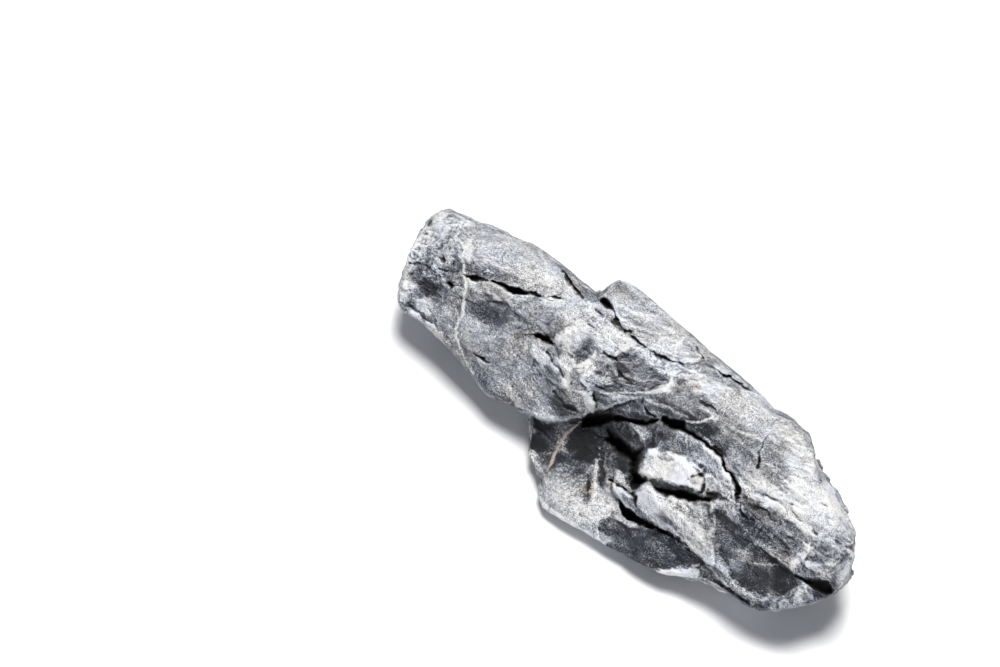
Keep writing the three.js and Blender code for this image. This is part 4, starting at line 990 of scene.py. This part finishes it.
# %% Where the veins run
# stroke, half width in mm along it
VEINS = [
    ([(-98.4, 17), (-97, 13), (-95.6, 9), (-91, 5), (-87, 1.4), (-84.6, -4), (-81, -9.5), (-80.4, -13)],
     [(0, 0.5), (0.25, 0.45), (0.5, 0.5), (0.8, 0.7), (1, 0.6)]),
    ([(-80.4, -13), (-79.6, -16), (-77.4, -18.8), (-73, -21.6), (-69, -24), (-65, -25.6), (-60, -26.4)],
     [(0, 0.6), (0.3, 0.5), (0.6, 0.2), (1, 0)]),
    ([(-102, 15), (-98, 13.5), (-93, 16)], [(0, 0.3), (0.5, 1.2), (1, 0.2)]),
    ([(-97.6, 19.6), (-96.6, 15), (-94, 12)], [(0, 0.3), (0.5, 0.9), (1, 0.3)]),
    ([(-72, 32), (-65, 27.6), (-60, 22), (-57, 19)], [(0, 0.3), (0.6, 0.3), (1, 0.1)]),
    ([(-72, 31), (-64, 28.4), (-55, 25.4), (-44, 24.2), (-34, 22)], [(0, 0.3), (0.6, 0.25), (1, 0.1)]),
    ([(-27.6, 12.6), (-26.4, 9.6), (-28.6, 4), (-31.6, 0.6), (-31, -3)],
     [(0, 0.5), (0.3, 1), (0.7, 0.7), (1, 0.9)]),
    ([(-31, -2.6), (-30, -4.5), (-28.6, -6.4), (-26.4, -7)], [(0, 0.9), (0.5, 1.8), (1, 0.8)]),
    ([(-20, -4), (-17.6, -5), (-15, -7), (-12.4, -8.8)], [(0, 0.7), (0.5, 1.9), (0.8, 1.4), (1, 0.4)]),
    ([(-29, -8), (-24, -5.8), (-20, -4)], [(0, 0.3), (0.5, 0.3), (1, 0.6)]),
    ([(-20.4, 15), (-19.6, 19), (-18.4, 22.6), (-16.4, 25)], [(0, 0.5), (0.6, 1.4), (1, 1)]),
    ([(4.4, 24.6), (5.8, 21), (5.8, 18), (3, 15), (0, 12), (-3, 9.6), (-7, 6), (-11, 3)],
     [(0, 0.4), (0.2, 1.1), (0.35, 1), (0.6, 0.4), (1, 0.15)]),
    ([(-1, 40.5), (-2, 37), (-1.5, 34), (0, 31)], [(0, 0.4), (0.5, 0.6), (1, 0.3)]),
    ([(-9.6, 28.6), (-8.4, 32), (-7, 35.5)], [(0, 0.3), (0.6, 0.5), (1, 0.1)]),
    ([(-5, 29), (-3.6, 33), (-2, 36.6)], [(0, 0.3), (0.6, 0.6), (1, 0.2)]),
    ([(3.6, 31), (6, 34), (9, 37.2)], [(0, 0.4), (0.5, 0.8), (1, 0.3)]),
    ([(6, 33), (8, 35.4), (11, 37.4)], [(0, 0.4), (1, 0.3)]),
    ([(28.4, 20), (26, 16.4), (23.4, 14), (20.6, 12.4)], [(0, 0.4), (0.5, 0.6), (1, 0.2)]),
    ([(24.4, 9), (25.4, 6.4), (28, 3.6)], [(0, 0.5), (1, 0.15)]),
    ([(27.4, 8.6), (28.4, 5)], [(0, 0.3), (1, 0.15)]),
    ([(-26, -35.6), (-24, -38.2), (-18, -40), (-12, -41.6)], [(0, 0.4), (0.5, 0.5), (1, 0.2)]),
    ([(88, -12), (84, -14.6), (80, -17)], [(0, 0.2), (1, 0.3)]),
    ([(60, -34), (62, -31.4)], [(0, 0.6), (1, 0.3)]),
    ([(12, -45), (6, -40), (2, -44), (-4, -47)], [(0, 0.15), (0.5, 0.3), (1, 0.15)]),
    ([(12, 30), (24, 29), (34, 28.6), (44, 30)], [(0, 0.1), (0.5, 0.3), (1, 0.1)]),
    ([(20, 26), (26, 26.6), (33, 25)], [(0, 0.1), (0.5, 0.25), (1, 0.1)]),
    ([(2, -2.6), (8, -3), (13, -5)], [(0, 0.15), (0.5, 0.3), (1, 0.3)]),
    ([(36, 31), (46, 33.6), (50, 30)], [(0, 0.1), (0.5, 0.3), (1, 0.1)]),
    ([(52, 30), (58, 26), (66, 27)], [(0, 0.1), (0.5, 0.3), (1, 0.1)]),
]
OCHRE_VEIN = ([(-14.2, -15), (-15, -19), (-16.2, -23), (-15.6, -25.4), (-14.6, -30), (-14, -34), (-13, -38),
               (-11, -43), (-10.4, -46)],
              [(0, 0.2), (0.1, 0.5), (0.25, 0.8), (0.4, 0.4), (0.6, 0.7), (0.75, 0.4), (0.85, 0.1), (1, 0)])
print(len(VEINS), "white veins and an ochre one")

# %% How far each point is from a vein
FAR_FROM_VEIN = 3.0
vein_s = wandering(s, s, t, 0, [(0.5, 4, 4, 51.5), (0.3, 1.2, 1.2, 55.5)])
vein_t = wandering(t, s, t, 0, [(0.5, 4, 4, 61.5), (0.3, 1.2, 1.2, 65.5)])


def outside_veins(veins):
    """How far each place of the face lies outside the nearest of some veins, below zero inside one."""
    nearest = np.full(len(s), FAR_FROM_VEIN)
    for stroke, width in veins:
        off, part = by_stroke(stroke, vein_s, vein_t, 4)
        nearest = np.minimum(nearest, abs(off) - profile(width, part))
    return np.where(face > 0.02, nearest, FAR_FROM_VEIN)


vein, ochre_vein = outside_veins(VEINS), outside_veins([OCHRE_VEIN])
print("points inside veins:", int((vein < 0).sum() + (ochre_vein < 0).sum()))

# %% Iron stains
# place, half length, half width, turn, strength
STAINS = [
    (13, 24.5, 5, 2.4, 0, 0.4), (41, -4, 4.6, 3, -20, 0.45), (-74, 6.4, 11, 2.4, 12, 0.45),
    (-56, -4, 7, 2.4, -8, 0.45), (-17, 16, 3.4, 5, 20, 0.6), (66, 1, 9, 3.4, -5, 0.7),
    (-22, 13.6, 3, 1.6, 0, 0.7), (90, -7, 8, 2.6, 0, 0.45), (6, -36, 3, 3.4, -40, 0.8),
    (38.4, 11.4, 4, 1.6, 0, 0.9), (30, -15, 8, 2.2, 10, 0.4), (47, -7, 3, 2.4, 0, 0.7),
    (80, -18, 9, 4, 0, 0.3), (47, 8.4, 6, 1.2, -22, 0.7), (18, -26, 8, 1.6, 0, 0.6),
    (-48, 2, 5, 2, 10, 0.6), (20, -21, 3.4, 3.6, 0, 0.6), (-52, 28.6, 7, 1.4, -14, 0.5),
    (-26, 27.4, 6, 1, 0, 0.4),
]
stain = np.zeros(len(s))
for *oval, strength in STAINS:
    stain = np.maximum(stain, strength * patch_cover(patch_s, patch_t, *oval))
stain = stain * seen + (1 - seen) * 0.7 * smooth(noise(s / 20, t / 13, h / 13 + 70), 0.3, 0.8)
print("stained share of the skin:", round(float((stain > 0.2).mean()), 3))

# %% [markdown]
# ## The stone as a mesh
# The points go into a Blender mesh together with what was measured and painted, as attributes that the
# material reads. A Decimate modifier then thins the net, most of all in the stone's hidden half. A
# coarser net would be as light, but it would lose the sharp lips of the cracks on the face.

# %% Keeping inside the solid's box
# in metres: the gap left inside the box, and how deep the band is that is pressed in to keep it
GAP, BAND = 0.0001, 0.006
skin_s, skin_t, skin_h = onto_face(points)
points_m = (points - MIDDLE) / 1000
for axis, sign in ((0, -1), (0, 1), (1, -1), (1, 1), (2, 1)):
    limit = sign * cad_box[(sign + 1) // 2][axis] - GAP
    out = sign * points_m[:, axis] - (limit - BAND)
    squeeze = min(1, BAND / out.max())
    points_m[:, axis] -= sign * np.maximum(out, 0) * (1 - squeeze)
    print("axis", axis, "side", sign, "squeezed by", round(squeeze, 3))

# %% The mesh
mesh = bpy.data.meshes.new("stone_skin")
mesh.vertices.add(len(points_m))
mesh.vertices.foreach_set("co", points_m.ravel())
mesh.loops.add(quads.size)
mesh.loops.foreach_set("vertex_index", quads.ravel())
mesh.polygons.add(len(quads))
mesh.polygons.foreach_set("loop_start", np.arange(0, quads.size, 4))
mesh.update(calc_edges=True)
mesh.validate()


def keep(name, values):
    kind = "FLOAT" if values.ndim == 1 else "FLOAT_VECTOR"
    field = mesh.attributes.new(name, kind, "POINT")
    field.data.foreach_set("value" if values.ndim == 1 else "vector", values.astype(np.float32).ravel())


bed_places = np.stack([skin_s, skin_t - profile(BED_CLIMB, skin_s), skin_h], axis=1)
for name, values in {"bed": bed_places, "tone": tone, "vein": vein, "ochre_vein": ochre_vein, "stain": stain,
                     "flank": flank, "recess": np.clip(recess / 5, 0, 1)}.items():
    keep(name, values)
# each size of hollow, how deep it counts as full in mm, and how far a ridge counts below zero
for name, hollow, full, least in zip(("small_hollow", "hollow", "large_hollow"), hollows, (0.35, 1.0, 3.0),
                                     (-0.4, -0.45, -0.5)):
    keep(name, np.clip(hollow / full, least, 1))

stone = bpy.data.objects.new("seiryu_stone", mesh)
bpy.context.scene.collection.objects.link(stone)
print("the mesh has", len(mesh.polygons), "faces and the attributes", ", ".join(mesh.attributes.keys()))

# %% Thinning the net
TRIANGLES = 196000
# how much more the points of the hidden half are thinned than those of the face
FACE_CARE = 0.0003
hidden = stone.vertex_groups.new(name="hidden")
weights = (0.15 + 0.85 * (1 - smooth(face, 0.0, 0.3))).round(1)
for weight in np.unique(weights):
    hidden.add(np.flatnonzero(weights == weight).tolist(), float(weight), "REPLACE")
thin = stone.modifiers.new("thin", "DECIMATE")
thin.ratio = TRIANGLES / (2 * len(quads))
thin.vertex_group = "hidden"
thin.vertex_group_factor = FACE_CARE
bpy.context.view_layer.objects.active = stone
stone.select_set(True)
bpy.ops.object.modifier_apply(modifier="thin")
mesh = stone.data
mesh.polygons.foreach_set("use_smooth", np.ones(len(mesh.polygons), bool))
stone.vertex_groups.clear()
for vertex in mesh.vertices:
    vertex.co.z = max(vertex.co.z, 0)
mesh.calc_loop_triangles()
on_face = np.zeros(len(mesh.vertices))
mesh.attributes["flank"].data.foreach_get("value", on_face)
print("the stone has", len(mesh.loop_triangles), "triangles, and", int((on_face < 0.5).sum()), "of its",
      len(mesh.vertices), "points are on the face")

# %% [markdown]
# ## The weathered limestone
# Seiryu is a dense, fine-grained limestone: matt, with a little gloss where calcite shows. One material
# holds the whole skin: dark rock, the pale weathered film over it, veins, iron stains, and dirt and painted
# shade in the hollows. Its colours could sit on the mesh alone, but the mesh has only one point to each
# millimetre.
# So the points give the broad tones, and noise at the size of the real grain clusters does the rest.

# %% A material helper
def linear(hex_colour):
    values = [int(hex_colour[i:i + 2], 16) / 255 for i in (1, 3, 5)]
    return [v / 12.92 if v <= 0.04045 else ((v + 0.055) / 1.055) ** 2.4 for v in values] + [1.0]


print("the pale film, as linear light:", [round(v, 3) for v in linear("#ecebe9")[:3]])
limestone = bpy.data.materials.new("weathered_limestone")
limestone.use_nodes = True
tree = limestone.node_tree
tree.nodes.clear()


def node(kind, inputs, output=0, **settings):
    """Adds a node with its settings, sets or links its inputs by place or by name, and gives an output."""
    made = tree.nodes.new("ShaderNode" + kind)
    for name, value in settings.items():
        setattr(made, name, value)
    for name, value in inputs.items() if isinstance(inputs, dict) else enumerate(inputs):
        if isinstance(value, bpy.types.NodeSocket):
            tree.links.new(value, made.inputs[name])
        else:
            made.inputs[name].default_value = value
    return made.outputs[output] if made.outputs else made


# %% What the mesh tells the material
FIELDS = ("tone", "vein", "ochre_vein", "stain", "recess", "flank", "small_hollow", "hollow", "large_hollow")
field = {name: node("Attribute", {}, "Fac", attribute_name=name) for name in FIELDS}
bed = node("Attribute", {}, "Vector", attribute_name="bed")
along_beds = node("Mapping", {"Vector": bed, "Scale": (0.2, 1, 1)})
print("the material reads", len(field), "measures and each place along the beds, in mm")

# %% The patterns of the rock
# Each has its size in mm, how many finer layers it has and how strong they are. The real grains are under
# 0.1 mm and too fine to show, so grain is drawn as clusters of 0.38 mm.
PATTERNS = {
    "patches": (11, 3, 0.5), "blotches": (4.5, 6, 0.65), "mottle": (1.7, 6, 0.75), "grain": (0.38, 2, 0.6),
    "pocks": (1.1, 4, 0.7), "streaks": (1.5, 4, 0.65), "worn": (2.4, 8, 0.8), "wear": (0.9, 4, 0.7),
    "film": (16, 2, 0.5), "hair_zones": (8, 2, 0.5), "joint_zones": (6, 2, 0.5), "vein_zones": (22, 3, 0.5),
}
pattern = {}
for name, (size, detail, roughness) in PATTERNS.items():
    place = along_beds if name == "streaks" else bed
    pattern[name] = node("TexNoise", {"Vector": place, "Scale": 1 / size, "Detail": detail,
                                      "Roughness": roughness})
print(len(pattern), "patterns, from", min(PATTERNS.values())[0], "to", max(PATTERNS.values())[0], "mm")

# %% Mottling, streaks and grain
gritty = node("MapRange", (pattern["patches"], 0.35, 0.62, 0.6, 1.4))
# pattern, the range it is read over, what that adds to the tone, and how strongly
TONE_LAYERS = [
    ("patches", 0.3, 0.7, -0.05, 0.05, 1.0), ("blotches", 0.3, 0.7, -0.11, 0.11, 1.0),
    ("streaks", 0.3, 0.7, -0.065, 0.065, 1.0), ("mottle", 0.3, 0.7, -0.08, 0.08, gritty),
    ("grain", 0.3, 0.7, -0.43, 0.43, gritty), ("worn", 0.56, 0.63, 0, 0.22, gritty),
    ("pocks", 0.42, 0.35, 0, -0.2, gritty),
]
shade = field["tone"]
for name, low, high, from_tone, to_tone, strength in TONE_LAYERS:
    layer = node("MapRange", (pattern[name], low, high, from_tone, to_tone))
    shade = node("Math", (layer, strength, shade), operation="MULTIPLY_ADD")
# the hollows darken the tone as dust and painted shade, and ridges, which count below 0, lighten it as wear
# and painted light
for name, strength in (("small_hollow", -0.3), ("hollow", -0.25), ("large_hollow", -0.15)):
    shade = node("Math", (field[name], strength, shade), operation="MULTIPLY_ADD")

# tones above 1 are fresh white edges
BRIGHTEST = 1.15
ROCK_TONES = [(0.0, "#0c0d11"), (0.2, "#24272e"), (0.4, "#4c4f57"), (0.6, "#85878b"), (0.8, "#bfc0c2"),
              (1.0, "#ecebe9"), (BRIGHTEST, "#fcfbfa")]
rock_colour = node("ValToRGB", [node("Math", (shade, BRIGHTEST), operation="DIVIDE")])
ramp = rock_colour.node.color_ramp
while len(ramp.elements) < len(ROCK_TONES):
    ramp.elements.new(0.5)
for element, (place, colour) in zip(ramp.elements, ROCK_TONES):
    element.position = place / BRIGHTEST
    element.color = linear(colour)
print("the tones go from", ROCK_TONES[0][1], "to", ROCK_TONES[-1][1])

# %% [markdown]
# ## Veins and fractures in the material
# Away from the painted face the stone is crossed by veins too, in nearly straight sets, because one push
# of the ground opens many fractures side by side. Finer ones break the rock into angular cells. Both
# could be modelled, but they are thinner than the mesh is fine, so the material draws them.

# %% Worn veins and bent fractures
wander = node("TexNoise", {"Vector": bed, "Scale": 1 / 14, "Detail": 5.0}, "Color")


def frayed(distance, fray, outside, inside):
    """1 inside a vein and 0 outside it, with an edge that wear moves to and fro; all in mm."""
    wear = node("MapRange", (pattern["wear"], 0.3, 0.7, -fray, fray))
    return node("MapRange", (node("Math", (distance, wear), operation="ADD"), outside, inside))


def bent(shift):
    """Every place shifted by up to so many mm, so that straight fractures wander a little."""
    return node("VectorMath", (wander, (shift, shift, shift), bed), operation="MULTIPLY_ADD")


def only_where(share, value, low, high):
    """Keeps a finish only where a value lies past a range."""
    return node("Math", (share, node("MapRange", (value, low, high))), operation="MULTIPLY")


def angular_cells(size, edge, core):
    """Fine fractures round angular cells of so many mm: 1 on one."""
    off = node("TexVoronoi", {"Vector": bent(5), "Scale": 1 / size}, feature="DISTANCE_TO_EDGE")
    return node("MapRange", (off, edge, core))


def parallel_veins(direction, spacing):
    """Nearly straight veins, one every so many mm along a direction: 1 inside one."""
    place = node("VectorMath", (bent(7), direction), "Value", operation="DOT_PRODUCT")
    return frayed(node("Math", (place, spacing / 2), operation="PINGPONG"), 0.35, 0.45, 0.15)


flank_veins = node("Math", (parallel_veins((0.8, 0.2, 0.56), 58), parallel_veins((0.5, -0.3, -0.81), 46)),
                   operation="MAXIMUM")
flank_veins = only_where(only_where(flank_veins, pattern["vein_zones"], 0.47, 0.53), field["flank"], 0.6, 0.9)
in_vein = node("Math", (frayed(field["vein"], 0.5, 0.2, -0.3), flank_veins), operation="MAXIMUM")
in_ochre = frayed(field["ochre_vein"], 0.45, 0.15, -0.2)
in_hair = only_where(angular_cells(15, 0.014, 0.005), pattern["hair_zones"], 0.5, 0.58)
in_hair = only_where(in_hair, shade, 0.35, 0.6)
in_joint = only_where(angular_cells(7, 0.05, 0.02), pattern["joint_zones"], 0.54, 0.62)
print("veins, an ochre vein, hair veins and joints are drawn")

# %% Dirt and painted shade in the cracks
# Silt and algae settle in the cracks as a brown rim; the nearly black inside is dirt and painted shade,
# darker where the crack is deeper.
pocked = node("MapRange", (pattern["pocks"], 0.3, 0.7, -0.3, 0.3))
settled_and_shaded = node("Math", (field["recess"], node("MapRange", (pattern["blotches"], 0.3, 0.7, -0.1, 0.1))),
               operation="ADD")
settled_and_shaded = node("Math", (pocked, field["recess"], settled_and_shaded), operation="MULTIPLY_ADD")
SILT_COVER, DIRT_AND_SHADE_COVER = 0.4, 0.95
silt = node("MapRange", (settled_and_shaded, 0.08, 0.4, 0, SILT_COVER))
# the black core of each crack is dirt and painted shade together
dirt_and_shade = node("MapRange", (settled_and_shaded, 0.32, 0.85, 0, DIRT_AND_SHADE_COVER))
print("silt hides up to", SILT_COVER, "of the rock, and dirt up to", DIRT_AND_SHADE_COVER)

# %% The coats, one over the other
white_grains = node("Math", (pattern["mottle"], pattern["grain"]), operation="ADD")
# what a coat's colour varies with, over which range, between which two colours
TWO_TONES = {
    "film": (pattern["film"], 0.35, 0.65, "#f0f5ff", "#fcfbfa"),
    "calcite": (white_grains, 0.75, 1.2, "#b9b9b7", "#fafaf9"),
    "ochre calcite": (pattern["wear"], 0.38, 0.56, "#997a68", "#d3ccc5"),
    "dirt_and_shade": (pattern["blotches"], 0.4, 0.6, "#08080a", "#17130f"),
}
coat = {}
for name, (value, low, high, first, second) in TWO_TONES.items():
    share = node("MapRange", (value, low, high))
    coat[name] = node("Mix", {0: share, 6: linear(first), 7: linear(second)}, 2, data_type="RGBA")
iron_stained = only_where(field["stain"], pattern["mottle"], 0.35, 0.6)
# where a coat lies, how strongly, its colour, and how it is laid on
COATS = [
    (iron_stained, 1.0, linear("#c4a98c"), "MULTIPLY"), (1.0, 1.0, coat["film"], "MULTIPLY"),
    (in_joint, 0.4, linear("#2b2c30"), "MIX"), (in_hair, 0.5, linear("#dcdddf"), "MIX"),
    (in_vein, 0.9, coat["calcite"], "MIX"), (in_ochre, 0.85, coat["ochre calcite"], "MIX"),
    # the last coat is the cracks' dirt with painted shade
    (silt, 1.0, linear("#3f372f"), "MIX"), (dirt_and_shade, 1.0, coat["dirt_and_shade"], "MIX"),
]
colour = rock_colour
for share, strength, coating, how in COATS:
    cover = node("Math", (share, strength), operation="MULTIPLY")
    colour = node("Mix", {0: cover, 6: colour, 7: coating}, 2, data_type="RGBA", blend_type=how)
print(len(COATS), "coats lie over the rock")

# %% Roughness and fine relief
# Weathered limestone is nearly matt; calcite is a little smoother, and has an IOR of about 1.5 too.
matt = node("MapRange", (pattern["mottle"], 0.3, 0.7, 0.7, 0.92))
roughness = node("Math", (in_vein, -0.2, matt), operation="MULTIPLY_ADD")
RELIEF = [
    (pattern["mottle"], 0.5), (pattern["grain"], 0.8), (pattern["pocks"], 0.4), (pattern["streaks"], 0.15),
    (pattern["worn"], 0.35), (in_vein, 0.1), (in_joint, -0.25),
]
fine_relief = 0.0
for part, strength in RELIEF:
    fine_relief = node("Math", (part, strength, fine_relief), operation="MULTIPLY_ADD")
GRIT_HEIGHT = 0.0009
bump = node("Bump", {"Height": fine_relief, "Strength": 1.0, "Distance": GRIT_HEIGHT})
rock = node("BsdfPrincipled", {
    "Base Color": colour, "Roughness": roughness, "Normal": bump, "IOR": 1.5, "Metallic": 0.0})
node("OutputMaterial", {"Surface": rock})
stone.data.materials.append(limestone)
print("the limestone material has", len(tree.nodes), "nodes")

# %% The stone takes the solid's place
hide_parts("stone")
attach(stone, "root")
print(stone.name, "stands for the solid's node and is fixed to its root body")

# %% [markdown]
# ## Floor, light and camera
# The stone lies on a sheet of pale uncoated paper, which is matt and even. A soft key light comes from
# behind and above, as from a window, so that every ledge has a bright edge and throws a shadow into the
# crack under it. A weak fill keeps the near side readable. One light alone would lose half the stone.

# %% The floor
FLOOR_REACH = 4.0
corners = [(-FLOOR_REACH, -FLOOR_REACH, 0), (FLOOR_REACH, -FLOOR_REACH, 0), (FLOOR_REACH, FLOOR_REACH, 0),
           (-FLOOR_REACH, FLOOR_REACH, 0)]
floor_mesh = bpy.data.meshes.new("floor")
floor_mesh.from_pydata(corners, [], [(0, 1, 2, 3)])
floor = bpy.data.objects.new("floor", floor_mesh)
bpy.context.scene.collection.objects.link(floor)
paper = bpy.data.materials.new("pale_paper")
paper.use_nodes = True
paper_finish = paper.node_tree.nodes["Principled BSDF"]
paper_finish.inputs["Base Color"].default_value = linear("#eeeef0")
paper_finish.inputs["Roughness"].default_value = 0.6
floor_mesh.materials.append(paper)
print("the floor reaches", FLOOR_REACH, "m each way")

# %% The lights
face_middle = Vector((np.array([0, 0, PLANE_HEIGHT]) - MIDDLE).tolist()) / 1000
to_right, to_top, to_eye = Vector(rightward), Vector(upward), Vector(outward)
# name, where it shines from, distance and size in m, power in W, colour
LIGHTS = [
    ("key", to_top * 0.74 + to_eye * 1.04 + to_right * 0.05, 1.2, 0.38, 21.6, (1, 0.99, 0.97)),
    ("fill", to_eye * 1.0 - to_top * 0.9 - to_right * 0.2, 1.6, 1.2, 9, (0.93, 0.96, 1)),
]
for name, towards, distance, size, power, colour in LIGHTS:
    lamp = bpy.data.lights.new(name, "AREA")
    lamp.size = size
    lamp.energy = power
    lamp.color = colour
    holder = bpy.data.objects.new(name, lamp)
    holder.location = face_middle + towards.normalized() * distance
    holder.rotation_mode = "QUATERNION"
    holder.rotation_quaternion = (-towards).to_track_quat("-Z", "Y")
    bpy.context.scene.collection.objects.link(holder)
    print(name, "light at", [round(v, 2) for v in holder.location])

world = bpy.data.worlds.new("studio")
world.use_nodes = True
world.node_tree.nodes["Background"].inputs["Color"].default_value = (0.85, 0.9, 1, 1)
world.node_tree.nodes["Background"].inputs["Strength"].default_value = 0.18
bpy.context.scene.world = world
bpy.context.scene.view_settings.view_transform = "Standard"

# %% The camera
lens = bpy.data.cameras.new("camera")
lens.lens = 85.03
lens.sensor_width = 36
lens.clip_end = 30
camera = bpy.data.objects.new("camera", lens)
eye = along * EYE_S + across * EYE_T + outward * EYE_H
camera.location = face_middle + Vector(eye.tolist()) / 1000
camera.rotation_mode = "QUATERNION"
camera.rotation_quaternion = Matrix((to_right, to_top, to_eye)).transposed().to_quaternion()
bpy.context.scene.collection.objects.link(camera)
bpy.context.scene.camera = camera
print("the camera stands at", [round(v, 3) for v in camera.location])
